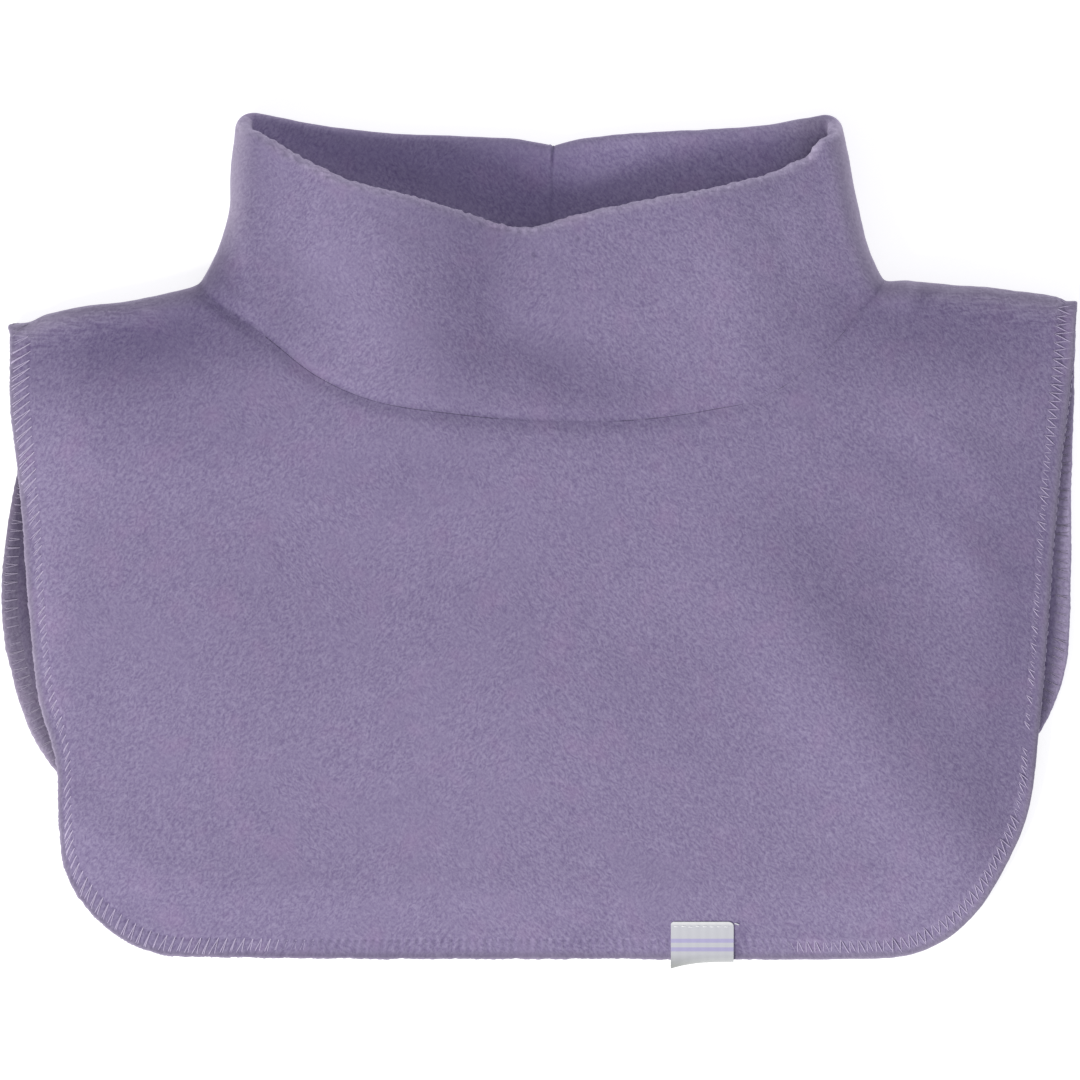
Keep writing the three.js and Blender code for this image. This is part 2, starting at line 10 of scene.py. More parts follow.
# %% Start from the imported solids
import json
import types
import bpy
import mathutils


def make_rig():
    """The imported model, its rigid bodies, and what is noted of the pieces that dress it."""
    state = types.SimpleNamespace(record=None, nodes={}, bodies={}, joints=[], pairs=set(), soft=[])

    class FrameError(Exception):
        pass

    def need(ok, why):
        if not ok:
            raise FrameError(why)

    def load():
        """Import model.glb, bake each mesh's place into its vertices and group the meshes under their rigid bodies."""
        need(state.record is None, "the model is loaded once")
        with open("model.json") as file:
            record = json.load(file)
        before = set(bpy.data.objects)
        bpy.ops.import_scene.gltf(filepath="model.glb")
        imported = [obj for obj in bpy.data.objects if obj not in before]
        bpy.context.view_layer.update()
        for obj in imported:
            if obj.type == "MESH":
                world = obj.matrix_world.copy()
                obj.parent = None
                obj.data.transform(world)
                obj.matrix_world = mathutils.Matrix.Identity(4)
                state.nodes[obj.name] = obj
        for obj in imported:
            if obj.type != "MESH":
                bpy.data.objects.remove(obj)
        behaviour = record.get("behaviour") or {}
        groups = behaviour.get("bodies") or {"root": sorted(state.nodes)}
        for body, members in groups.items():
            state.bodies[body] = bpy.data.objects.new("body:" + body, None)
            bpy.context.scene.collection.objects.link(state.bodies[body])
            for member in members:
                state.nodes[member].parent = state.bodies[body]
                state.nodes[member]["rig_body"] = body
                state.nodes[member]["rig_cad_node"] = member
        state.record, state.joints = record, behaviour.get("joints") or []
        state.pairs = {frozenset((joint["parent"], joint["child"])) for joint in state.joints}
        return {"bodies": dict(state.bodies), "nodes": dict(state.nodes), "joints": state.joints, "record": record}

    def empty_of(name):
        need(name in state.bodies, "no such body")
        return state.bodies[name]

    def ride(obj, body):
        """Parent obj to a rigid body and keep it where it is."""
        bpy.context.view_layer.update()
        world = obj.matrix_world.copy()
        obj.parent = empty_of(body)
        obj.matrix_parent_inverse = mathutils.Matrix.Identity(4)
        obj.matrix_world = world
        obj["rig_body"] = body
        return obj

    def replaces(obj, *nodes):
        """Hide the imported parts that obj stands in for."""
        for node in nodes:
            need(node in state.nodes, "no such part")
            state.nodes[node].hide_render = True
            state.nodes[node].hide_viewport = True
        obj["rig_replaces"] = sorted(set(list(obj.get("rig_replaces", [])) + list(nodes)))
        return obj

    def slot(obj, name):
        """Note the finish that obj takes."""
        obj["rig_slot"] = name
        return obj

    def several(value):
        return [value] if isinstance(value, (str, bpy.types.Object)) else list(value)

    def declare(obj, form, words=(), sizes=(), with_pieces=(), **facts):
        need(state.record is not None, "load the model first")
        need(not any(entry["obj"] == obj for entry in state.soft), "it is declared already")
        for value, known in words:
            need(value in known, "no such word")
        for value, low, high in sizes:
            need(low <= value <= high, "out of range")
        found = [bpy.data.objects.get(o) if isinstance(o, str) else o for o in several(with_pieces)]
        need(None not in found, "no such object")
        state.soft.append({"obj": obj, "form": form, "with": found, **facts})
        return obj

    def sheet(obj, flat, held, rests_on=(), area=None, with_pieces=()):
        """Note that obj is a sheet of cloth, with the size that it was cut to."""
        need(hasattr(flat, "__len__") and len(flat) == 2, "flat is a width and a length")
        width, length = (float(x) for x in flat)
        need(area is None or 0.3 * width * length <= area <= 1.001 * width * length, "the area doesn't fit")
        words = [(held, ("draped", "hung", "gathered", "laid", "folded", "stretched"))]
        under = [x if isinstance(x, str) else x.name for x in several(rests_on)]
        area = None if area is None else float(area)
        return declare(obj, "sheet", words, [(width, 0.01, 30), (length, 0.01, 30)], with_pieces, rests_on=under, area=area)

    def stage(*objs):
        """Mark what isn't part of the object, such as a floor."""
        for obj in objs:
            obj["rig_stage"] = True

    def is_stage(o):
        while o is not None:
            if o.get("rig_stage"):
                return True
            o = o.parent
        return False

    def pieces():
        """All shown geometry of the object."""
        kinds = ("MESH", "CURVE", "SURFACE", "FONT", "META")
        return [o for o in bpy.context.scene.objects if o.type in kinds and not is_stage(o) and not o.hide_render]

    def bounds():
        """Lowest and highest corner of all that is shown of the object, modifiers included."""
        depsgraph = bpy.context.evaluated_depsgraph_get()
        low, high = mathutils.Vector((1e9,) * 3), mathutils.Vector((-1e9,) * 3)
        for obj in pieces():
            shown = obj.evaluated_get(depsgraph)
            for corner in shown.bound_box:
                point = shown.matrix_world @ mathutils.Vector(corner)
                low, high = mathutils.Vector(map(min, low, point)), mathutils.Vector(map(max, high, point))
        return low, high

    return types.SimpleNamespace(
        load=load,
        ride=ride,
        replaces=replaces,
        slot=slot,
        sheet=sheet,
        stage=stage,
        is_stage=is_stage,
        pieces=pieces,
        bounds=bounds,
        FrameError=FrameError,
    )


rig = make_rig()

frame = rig.load()

import json

import bpy
import numpy as np
from mathutils import Vector

solid_box = [list(corner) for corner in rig.bounds()]
print("solids from", solid_box[0], "to", solid_box[1])

# %% [markdown]
# ## The camera
# The photograph looks straight down. A long lens from two metres keeps the outline nearly parallel, as a
# product photograph does. A pixel of the 1080 pixels then covers 0.3 mm of the table.

# %% Camera straight above
MM = 0.001  # metres in a millimetre
CAMERA_HEIGHT = 2.0
FRAME_WIDTH = 0.324  # metres of table that the picture is wide
SENSOR = 36.0
MIDDLE = np.array([0.05, -0.29, 0.0])  # middle of the garment's box in its tables, in millimetres

camera_data = bpy.data.cameras.new("camera")
camera_data.sensor_width = SENSOR
camera_data.lens = SENSOR * CAMERA_HEIGHT / FRAME_WIDTH
camera = bpy.data.objects.new("camera", camera_data)
camera.location = (-MIDDLE[0] * MM, -MIDDLE[1] * MM, CAMERA_HEIGHT)
bpy.context.scene.collection.objects.link(camera)
bpy.context.scene.camera = camera
print("lens", round(camera_data.lens, 1), "mm")

# %% [markdown]
# ## Small formulas
# The garment is drawn by a few short tables. Between their rows a cubic curve runs, which passes through
# every row without corners. A bell curve lets one form die away beside another.

# %% Curves through tables
def columns(names, rows):
    """A table as one array for each of its named columns."""
    return dict(zip(names.split(), np.array(rows, float).T))


def mix(a, b, share):
    """The value a share of the way from a to b."""
    return a + (b - a) * share


def bell(distance, spread):
    """One at no distance, and dying away as e to the minus square of distance over spread."""
    return np.exp(-((np.asarray(distance) / spread) ** 2))


def smooth_step(value, low, high):
    """From 0 below low to 1 above high, along 3t squared minus 2t cubed."""
    t = np.clip((np.asarray(value) - low) / (high - low), 0, 1)
    return t * t * (3 - 2 * t)


def look_up(table, key, place, column, level=False):
    """A column's value at a place in the key column, on a cubic through the rows. The slope at a row is
    that of the line between its neighbours. A level table starts and ends without slope."""
    keys, values = table[key], table[column]
    rows = np.arange(len(keys))
    before = np.maximum(rows - 1, 0)
    after = np.minimum(rows + 1, rows[-1])
    slopes = (values[after] - values[before]) / (keys[after] - keys[before])
    if level:
        slopes[[0, -1]] = 0
    i = np.clip(np.searchsorted(keys, place) - 1, 0, rows[-1] - 1)
    width = keys[i + 1] - keys[i]
    t = (place - keys[i]) / width
    rise = (1 - t) ** 2 * t * slopes[i] - t * t * (1 - t) * slopes[i + 1]
    return mix(values[i], values[i + 1], t * t * (3 - 2 * t)) + rise * width


def unit(vectors):
    """The vectors at length one."""
    return vectors / np.maximum(np.linalg.norm(vectors, axis=-1, keepdims=True), 1e-12)


def path_point(table, key, place):
    """The point (x, y) of a path at a place in its key column."""
    return np.stack([look_up(table, key, place, "x"), look_up(table, key, place, "y")], axis=-1)


def path_run(table, key, place, step):
    """The direction of a path at a place, from one step before it to one step after it."""
    return unit(path_point(table, key, place + step) - path_point(table, key, place - step))


# %% [markdown]
# ## The garment's sizes
# These are the driving sizes, in millimetres, the same as those of the solids: thickness of the fleece,
# reach of the folds, and the outline seen from above. +Y points to the collar's opening.

# %% Sizes and outline tables
PLY = 2.2  # thickness of one layer of fleece
FOLD_SLOT = 0.5  # space between the collar's two layers
SEAM_INSET = 1.15  # from the seam line to where a rounded edge begins
LAYER_GAP = 0.6  # space between front and back panel where they lie together
LABEL_PLY = 0.4  # thickness of the ribbon
SEAM_GAP = 0.3  # space between the label's lower leg and the cloth over it
HALF_PLY = PLY / 2
HALF_WALL = PLY + FOLD_SLOT / 2
LAYER_OFFSET = (PLY + FOLD_SLOT) / 2

COLLAR_TURN = 3.8  # reach of the collar's side folds
SHOULDER_TURN = 2.6  # reach of the shoulder folds
SHOULDER_LIFT = 1.2  # how much higher the front panel is at a shoulder fold
SHOULDER_SPREAD = 16  # how far in from the fold that lift reaches
NECK_SPREAD = 34  # how far out from the neck seam the rise to it reaches
TURN_SPREAD = 20  # how far out the collar's reach narrows to the shoulder's
EASE = 12  # how far out the yoke's folds follow the collar's foot
QUIET = 8  # how far in from a shoulder fold the puffs fade
QUIET_SHARE = 0.09  # the same on the collar, as a share of its width
BOW_SHARE = 0.12  # how far in a panel follows the bow of its sides, as a share of its width
HEM_DROP = (1, 23)  # distances past the back panel over which the front comes down

# `along` is the distance from the neck seam, out over the shoulder or, negative, up the collar's side
LEFT_SIDE = columns("along x y", [
    (-51, -91.0, 122.4), (-42, -92.1, 114.5), (-33, -92.7, 106.5), (-24, -92.9, 99.0),
    (-16, -94.7, 92.0), (-8, -97.6, 85.0), (0, -102.3, 78.0), (10, -111.5, 74.9),
    (21, -122.9, 72.2), (33, -134.9, 70.8), (47, -148.5, 67.8), (52.5, -153.4, 65.5), (58, -159.4, 64.9),
])
RIGHT_SIDE = columns("along x y", [
    (-51, 90.8, 122.4), (-42, 92.3, 115.0), (-33, 93.6, 107.5), (-24, 95.2, 100.0),
    (-16, 97.0, 92.5), (-8, 99.6, 85.0), (0, 103.2, 78.8), (9, 110.9, 78.2),
    (21, 123.1, 77.0), (32, 133.7, 76.1), (45, 146.7, 74.3), (59, 160.8, 72.1),
])
COLLAR_TOP = LEFT_SIDE["along"][0]
SIDES = {"left": (LEFT_SIDE, 1), "right": (RIGHT_SIDE, -1)}

# Neck seam and top fold of the collar, and the levels of the middle of its wall
COLLAR_FRONT = columns("share seamY seamZ topZ", [
    (0, 72.0, 9.95, 10.3), (0.08, 61.3, 10.6, 12.9), (0.16, 49.2, 11.2, 15.6), (0.25, 41.6, 11.8, 17.2),
    (0.375, 37.6, 12.3, 16.6), (0.47, 35.8, 12.4, 15.4), (0.54, 35.4, 12.4, 15.6), (0.64, 35.9, 12.3, 16.8),
    (0.75, 38.9, 11.8, 17.4), (0.84, 43.6, 11.2, 15.8), (0.92, 55.3, 10.6, 13.0), (1, 72.7, 9.95, 10.3),
])
COLLAR_LIP = columns("share topY", [
    (0, 119.6), (0.06, 113.3), (0.105, 109.2), (0.147, 105.8), (0.19, 103.4), (0.275, 99.7),
    (0.36, 95.4), (0.402, 92.9), (0.445, 91.2), (0.487, 90.8), (0.53, 92.6), (0.61, 96.2),
    (0.70, 99.2), (0.828, 103.2), (0.913, 107.2), (0.955, 110.6), (0.976, 112.1), (0.99, 114.5), (1, 117.3),
])
COLLAR_BACK = columns("share seamY topY", [
    (0, 72.0, 125.6), (0.1, 68.0, 122.1), (0.25, 64.2, 119.3), (0.5, 61.2, 118.3),
    (0.75, 64.4, 120.2), (0.9, 68.6, 121.9), (1, 72.7, 124.9),
])
BACK_SEAM_NOTCH = {"x": 4.1, "half": 8, "drop": 2.7, "power": 1.3}

# Cut edge of the two panels, from the left shoulder down, along the hem and up to the right shoulder
FRONT_EDGE = columns("x y", [
    (-158.8, 61.3), (-158.9, 42.0), (-157.2, 25.0), (-155.2, 4.0), (-153.3, -22.0), (-150.5, -47.0),
    (-145.1, -67.0), (-144.4, -83.0), (-142.0, -101.2), (-131.0, -115.9), (-116.4, -123.9),
    (-98.0, -125.3), (-50.0, -125.9), (0.0, -125.9), (50.0, -126.0), (96.0, -125.8), (113.5, -123.9),
    (128.0, -115.0), (138.9, -99.3), (146.5, -81.0), (149.7, -56.0), (151.9, -31.0), (154.0, -2.0),
    (156.4, 25.0), (159.2, 48.0), (160.9, 68.4),
])
BACK_EDGE = columns("x y", [
    (-158.8, 61.3), (-158.2, 42.0), (-156.8, 24.0), (-159.6, 6.0), (-161.7, -13.0), (-160.1, -34.0),
    (-152.3, -59.0), (-139.5, -75.5), (-114.0, -94.0), (-90.0, -99.4), (0.0, -99.8), (90.0, -98.6),
    (114.0, -92.0), (140.0, -71.0), (151.9, -54.5), (157.8, -38.5), (159.4, -14.0), (159.5, 14.0),
    (160.2, 36.0), (160.9, 68.4),
])

# Puffs and hollows: place, half-length, half-width, turn of the length from +X in degrees, and rise
PUFF = "x y long wide turn rise"
COLLAR_PUFFS = columns(PUFF, [
    (-44, 76, 34, 20, 95, 4.2), (66, 78, 33, 26, 80, 3.6), (6, 56, 30, 13, -12, -1.2),
])
YOKE_PUFFS = columns(PUFF, [
    (-122, 38, 34, 18, 12, 4.2), (122, 36, 30, 20, -6, 3.4), (-98, -22, 70, 34, 84, 2.6),
    (0, -34, 75, 46, 0, 4.2), (84, -34, 52, 20, -56, 4.2), (122, -88, 26, 16, -50, 2.2),
    (124, 26, 14, 9, -35, 1.8), (128, -4, 12, 8, -50, 1.5),
])
LABEL = {"x": 48.6, "width": 18.8, "top": -114.3, "fold_left": -128.5, "fold_right": -126.5,
         "clear": 0.1, "spread": 20}
# Steps for the direction of a line: as a share of it, and in millimetres along a side
SHARE_STEP = 0.002
SIDE_STEP = 7


def measured(path):
    """The path with a column more: each row's share of the length of the lines between the rows."""
    steps = np.hypot(np.diff(path["x"]), np.diff(path["y"]))
    reach = np.concatenate([[0], np.cumsum(steps)])
    return {**path, "share": reach / reach[-1]}


EDGES = {"front": measured(FRONT_EDGE), "back": measured(BACK_EDGE)}
print("rows of outline:", len(FRONT_EDGE["x"]), "front,", len(BACK_EDGE["x"]), "back")

# %% [markdown]
# ## The folds at the sides
# Seen from above, the fold of the collar and that of the shoulder are one line on each side. The middle
# of the cloth runs inside that line by half the wall and by the reach of the fold.

# %% Side folds
def side_outward(side, along):
    """Horizontal direction out of a side: its run, turned by a right angle."""
    table, sense = SIDES[side]
    first, last = table["along"][[0, -1]]
    run = path_run(table, "along", np.clip(along, first + SIDE_STEP, last - SIDE_STEP), SIDE_STEP)
    return np.stack([run[..., 1], -run[..., 0]], axis=-1) * sense


def turn_reach(along):
    """Reach of the fold: the collar's at the neck, narrowing to the shoulder's."""
    return mix(COLLAR_TURN + LAYER_OFFSET, SHOULDER_TURN, smooth_step(along, 0, TURN_SPREAD))


def side_axis(side, along):
    """Axis of the fold: the outline moved in by reach and half a wall."""
    along = np.asarray(along, float)
    inset = np.where(along < 0, COLLAR_TURN + HALF_WALL, turn_reach(along) + HALF_PLY)
    point = path_point(SIDES[side][0], "along", along)
    return point - side_outward(side, along) * inset[..., None]


def side_bow(side, end, share):
    """How far the axis bows from the straight line between its ends."""
    far = SIDES[side][0]["along"][end]
    straight = mix(side_axis(side, 0.0), side_axis(side, far), np.asarray(share)[..., None])
    return side_axis(side, far * np.asarray(share)) - straight


def bow_at(end, width, share):
    """The bow of both sides, dying away toward the middle of a panel as two bell curves."""
    left = side_bow("left", end, share) * bell(width, BOW_SHARE)[..., None]
    return left + side_bow("right", end, share) * bell(1 - np.asarray(width), BOW_SHARE)[..., None]


def puff_height(puffs, x, y):
    """Sum of bells, each stretched and turned as its row of the table says."""
    turn = np.radians(puffs["turn"])
    dx = np.asarray(x)[..., None] - puffs["x"]
    dy = np.asarray(y)[..., None] - puffs["y"]
    along = (dx * np.cos(turn) + dy * np.sin(turn)) / puffs["long"]
    across = (dy * np.cos(turn) - dx * np.sin(turn)) / puffs["wide"]
    return (puffs["rise"] * bell(np.hypot(along, across), 1)).sum(axis=-1)


def half_turn(upper, lower, outward, reach, turn):
    """Half an ellipse from an upper point, out over a side by its reach, to a lower point."""
    point = upper + (lower - upper) * ((1 - np.cos(turn)) / 2)[..., None]
    point[..., :2] += outward * (reach * np.sin(turn))[..., None]
    return point


# %% [markdown]
# ## The middle of the cloth
# Each piece is first only the middle of its cloth: a function of a place round the ring and of a share of
# the way from the neck seam. The ring has four stretches: the front from left to right, the fold on the
# right, the back from right to left and the fold on the left.

# %% The collar's wall
def collar_panel(panel, width, height):
    """Middle of the doubled wall: across the width between the side folds, up from seam to top fold."""
    table, lip = (COLLAR_FRONT, COLLAR_LIP) if panel == "front" else (COLLAR_BACK, COLLAR_BACK)
    width, height = np.broadcast_arrays(width, height)
    along = COLLAR_TOP * height
    x = mix(side_axis("left", along)[..., 0], side_axis("right", along)[..., 0], width)
    y = mix(look_up(table, "share", width, "seamY"), look_up(lip, "share", width, "topY"), height)
    y = y + bow_at(0, width, height)[..., 1]
    if panel == "back":
        beside = np.abs(x - BACK_SEAM_NOTCH["x"]) / BACK_SEAM_NOTCH["half"]
        y = y - BACK_SEAM_NOTCH["drop"] * np.exp(-(beside ** BACK_SEAM_NOTCH["power"])) * height**4
        return np.stack([x, y, np.full_like(x, HALF_WALL)], axis=-1)
    low = look_up(table, "share", width, "seamZ", level=True)
    high = look_up(table, "share", width, "topZ", level=True)
    quiet = 1 - bell(width, QUIET_SHARE) - bell(1 - width, QUIET_SHARE)
    return np.stack([x, y, mix(low, high, height) + quiet * puff_height(COLLAR_PUFFS, x, y)], axis=-1)


def collar_at(stretch, value, height):
    """Middle of the collar's wall on one stretch of the ring."""
    if stretch in ("front", "back"):
        return collar_panel(stretch, value, height)
    end = 0.0 if stretch == "left" else 1.0
    value, height = np.broadcast_arrays(value, height)
    outward = side_outward(stretch, COLLAR_TOP * height)
    upper = collar_panel("front", end, height)
    return half_turn(upper, collar_panel("back", end, height), outward, COLLAR_TURN, value)


def seam_at(stretch, value):
    """The neck seam: the foot of the collar moved along its normal to the middle of its outer layer."""
    step = -SHARE_STEP if stretch in ("back", "left") else SHARE_STEP
    foot = collar_at(stretch, value, 0.0)
    round_ring = collar_at(stretch, value + step, 0.0) - collar_at(stretch, value - step, 0.0)
    up = collar_at(stretch, value, SHARE_STEP) - foot
    return foot + unit(np.cross(round_ring, up)) * LAYER_OFFSET


# %% The yoke's cloth
outline_shares = np.linspace(0, 1, 97)
back_outline = path_point(EDGES["back"], "share", outline_shares)
back_outline = np.vstack([back_outline, [0, 2 * back_outline[0, 1]]])  # closed over the neck


def outside_back(x, y):
    """Distance outside the back panel, negative within: the least distance to the sides of a polygon,
    with the sign from how many of them a line to the left crosses."""
    point = np.stack([x, y], axis=-1)[..., None, :]
    start, end = back_outline, np.roll(back_outline, -1, axis=0)
    run = end - start
    share = np.clip(((point - start) * run).sum(-1) / (run**2).sum(-1), 0, 1)
    nearest = np.linalg.norm(start + share[..., None] * run - point, axis=-1).min(axis=-1)
    crosses = (start[:, 1] > point[..., 1]) != (end[:, 1] > point[..., 1])
    reached = start[:, 0] + (point[..., 1] - start[:, 1]) / np.where(run[:, 1] == 0, 1, run[:, 1]) * run[:, 0]
    within = (crosses & (point[..., 0] < reached)).sum(axis=-1) % 2 == 1
    return np.where(within, -nearest, nearest)


def front_level(x, y):
    """Level of the front panel: on the back panel, then down on the table, and up over the label."""
    fall = smooth_step(outside_back(x, y), *HEM_DROP)
    beside = np.maximum(np.abs(x - LABEL["x"]) - LABEL["width"] / 2, 0)
    ride = (LABEL_PLY + SEAM_GAP + LABEL["clear"]) * bell(beside, LABEL["spread"]) * fall
    return HALF_PLY + (PLY + LAYER_GAP) * (1 - fall) + ride


def yoke_plan(panel, width, share):
    """Seen from above: a ray from the neck seam to the cut edge, bowed as the shoulders are."""
    width, share = np.broadcast_arrays(width, share)
    seam = seam_at(panel, width)[..., :2]
    edge = path_point(EDGES[panel], "share", width)
    run = path_run(EDGES[panel], "share", np.clip(width, SHARE_STEP, 1 - SHARE_STEP), SHARE_STEP)
    edge = edge + np.stack([-run[..., 1], run[..., 0]], axis=-1) * HALF_PLY
    return mix(seam, edge, share[..., None]) + bow_at(-1, width, share)


def yoke_base(share, plan):
    """Level of the front panel without the rise to the neck: lift at the shoulders, and puffs."""
    left = np.linalg.norm(plan - yoke_plan("front", 0.0, share), axis=-1)
    right = np.linalg.norm(plan - yoke_plan("front", 1.0, share), axis=-1)
    lift = SHOULDER_LIFT * (bell(left, SHOULDER_SPREAD) + bell(right, SHOULDER_SPREAD))
    quiet = (1 - bell(left, QUIET)) * (1 - bell(right, QUIET))
    level = front_level(plan[..., 0], plan[..., 1])
    return level + lift + quiet * puff_height(YOKE_PUFFS, plan[..., 0], plan[..., 1])


def yoke_panel(panel, width, share):
    """Middle of a panel's cloth: the back one flat, the front one risen to meet the neck seam."""
    plan = yoke_plan(panel, width, share)
    if panel == "back":
        return np.concatenate([plan, np.full(plan.shape[:-1] + (1,), HALF_PLY)], axis=-1)
    start = yoke_plan(panel, width, 0.0)
    rise = seam_at(panel, np.asarray(width))[..., 2] - yoke_base(0.0, start)
    level = yoke_base(share, plan) + rise * bell(np.linalg.norm(plan - start, axis=-1), NECK_SPREAD)
    return np.concatenate([plan, level[..., None]], axis=-1)


def yoke_at(stretch, value, share):
    """Middle of the yoke's cloth on one stretch of the ring, eased onto the collar's foot at the folds."""
    if stretch in ("front", "back"):
        return yoke_panel(stretch, value, share)
    end = 0.0 if stretch == "left" else 1.0
    value, share = np.broadcast_arrays(value, share)
    far = SIDES[stretch][0]["along"][-1]

    def turned(part, reach):
        outward = side_outward(stretch, far * part)
        upper = yoke_panel("front", end, part)
        return half_turn(upper, yoke_panel("back", end, part), outward, reach, value)

    start = np.zeros_like(share)
    ease = seam_at(stretch, value) - turned(start, turn_reach(start))
    return turned(share, turn_reach(far * share)) + ease * bell(far * share, EASE)[..., None]


# %% [markdown]
# ## From a sheet without thickness to cloth
# A grid of points on the middle of the cloth gives its normals: the cross product of the runs along and
# across the grid. Cloth is then the grid moved out by half its thickness on both sides, with the two
# sides joined by rounded edges.

# %% Grids, normals and rounded edges
END_PULL = 0.45  # how much closer together rows are at the ends: 0 not at all, 1 as a cosine


def spread_rows(count):
    """Shares from 0 to 1, closer together at both ends."""
    t = np.linspace(0, 1, count)
    return mix(t, (1 - np.cos(np.pi * t)) / 2, END_PULL)


def ring(front, back, turn):
    """Places round the ring, as the name of each stretch with the values along it."""
    turns = np.pi * np.arange(1, turn) / turn
    return [
        ("front", np.linspace(0, 1, front + 1)),
        ("right", turns),
        ("back", np.linspace(1, 0, back + 1)),
        ("left", turns[::-1]),
    ]


def round_ring(point_at, places, shares):
    """Points on all stretches, a row for each place. `shares` is one row for all, or one for each."""
    shares = np.atleast_2d(shares)
    grids = []
    start = 0
    for stretch, values in places:
        own = shares if len(shares) == 1 else shares[start:start + len(values)]
        grids.append(point_at(stretch, values[:, None], own))
        start += len(values)
    return np.concatenate(grids)


def run_through(before, point, after):
    """Direction along a row of points, weighted so that uneven spacing doesn't turn it."""
    back, on = point - before, after - point
    back_length = np.linalg.norm(back, axis=-1, keepdims=True)
    on_length = np.linalg.norm(on, axis=-1, keepdims=True)
    ratio = on_length / np.maximum(back_length, 1e-9)
    middle = back * ratio + on / np.maximum(ratio, 1e-9)
    return np.where(back_length < 1e-9, on, np.where(on_length < 1e-9, back, middle))


def framed(points, outward):
    """Points with their outward normals, and the direction square to the ring, away from the seam."""
    around = run_through(np.roll(points, 1, 0), points, np.roll(points, -1, 0))
    first = np.concatenate([points[:, :1], points[:, :-1]], axis=1)
    last = np.concatenate([points[:, 1:], points[:, -1:]], axis=1)
    turned = unit(np.cross(around, run_through(first, points, last)))
    return {"point": points, "normal": turned * outward, "away": unit(np.cross(turned, around))}


def raised(frames, height):
    """The grid moved along its normals."""
    return frames["point"] + frames["normal"] * np.asarray(height)[..., None]


def rounded(frames, row, middle, radius, reach, degrees):
    """The end of a layer: at each angle from the sheet toward its outer face, a point of an ellipse that
    reaches out by `reach`."""
    angle = np.radians(np.asarray(degrees, float))[:, None]
    rise = frames["normal"][:, row, None] * (middle + radius * np.sin(angle))
    return frames["point"][:, row, None] + rise + frames["away"][:, row, None] * reach * np.cos(angle)


def millimetre_shares(point_at, places):
    """For every place round the ring, the share of its line that lies one millimetre from the seam,
    measured square to the seam."""
    shares = []
    for stretch, value in places:
        value = value[:, None]
        start = point_at(stretch, value, 0.0)
        along = point_at(stretch, value, SHARE_STEP) - start
        beside = unit(point_at(stretch, np.abs(value - SHARE_STEP), 0.0) - start)
        shares.append(SHARE_STEP / np.linalg.norm(np.cross(along, beside), axis=-1))
    return np.concatenate(shares)


# %% The neck seam, which both pieces share
SEAM_NEAR = np.array([0.06, 0.3, 0.55, 0.85, 1.25, 1.8, 2.5, 3.4])  # distances of the rows beside it
SEAM_FAR = 4.6
SEAM_CAP = columns("away up", [(0.45, -0.85), (0.005, -0.4), (0.005, 0.5), (0.005, 0.98), (0.02, 1)])
# How deep the seam draws the cloth in, and how dark the painted shade in its crease is, from left to right
SEAM_LOOK = columns("x dip line", [
    (-106, 0.5, 0.35), (-90, 0.9, 0.75), (-80, 0.6, 0.5), (-64, 0.55, 0.55), (-45, 0.5, 0.6), (-12, 0.6, 0.8),
    (32, 0.5, 0.5), (60, 0.25, 0.15), (84, 0.1, 0.05), (95, 0.45, 0.8), (103, 0.45, 0.8),
])
SEAM_HALF = 2.6  # half-width of the crease
SEAM_CALM = 1.6  # how near to the seam the fleece is even
# The painted shade along the seam's crease: its thin line and its faint wide band
LINE = {"half": 0.7, "dark": 0.75, "ragged": 0.5, "long": 2.2, "most": 1.3, "beside": 0.3}
FRONT_SHARE = {"front": lambda v: 1 + 0 * v, "back": lambda v: 0 * v,
               "right": lambda v: (1 + np.cos(v)) / 2, "left": lambda v: (1 + np.cos(v)) / 2}


def seam_line(places):
    """The neck seam at every place round a ring: its point, outward normal, dip and darkness."""
    point = np.concatenate([seam_at(name, values) for name, values in places])
    foot = np.concatenate([collar_at(name, values, 0.0) for name, values in places])
    front = np.concatenate([FRONT_SHARE[name](values) for name, values in places])
    look = {name: front * np.interp(point[:, 0], SEAM_LOOK["x"], SEAM_LOOK[name]) for name in ("dip", "line")}
    return {"point": point, "normal": unit(point - foot), **look}


def from_seam(seam, grid):
    """Distance of every point from the seam at its place round the ring."""
    return np.linalg.norm(grid - seam["point"][:, None], axis=-1)


def dip_at(seam, grid):
    """Depth of the crease: a bell of the distance from the seam."""
    return seam["dip"][:, None] * bell(from_seam(seam, grid), SEAM_HALF)


def seam_cap(seam, frames, middle):
    """The end of a layer at the seam, from its under face to its upper one. Both pieces end on the plane
    of the seam's normal, so only a hair's breadth stays open between them."""
    away = unit(frames["point"][:, 0] + frames["normal"][:, 0] * middle - seam["point"])[:, None]
    half = np.where(SEAM_CAP["up"] > 0, HALF_PLY - seam["dip"][:, None], HALF_PLY)
    up = (SEAM_CAP["up"] * half)[..., None]
    return seam["point"][:, None] + away * SEAM_CAP["away"][:, None] + seam["normal"][:, None] * up


def near_rows(count, start, end):
    """Shares of the rows of a face: close together beside the seam, then on to its end."""
    return np.hstack([start * SEAM_NEAR, mix(start * SEAM_FAR, end, spread_rows(count))])


# %% [markdown]
# ## Into meshes
# Each piece is a ring of closed sections. Most of a section is a coarse grid. One stretch of it, where
# stitches or tufts need more points, is a grid with several times as many places round the ring, and a row
# of many-sided faces joins the two.

# %% Meshes from grids
def squares(index):
    """Faces between neighbours of a grid of vertex numbers, which closes round the ring."""
    on = np.roll(index, -1, 0)
    faces = np.stack([index[:, :-1], on[:, :-1], on[:, 1:], index[:, 1:]], axis=-1)
    return faces.reshape(-1, 4).tolist()


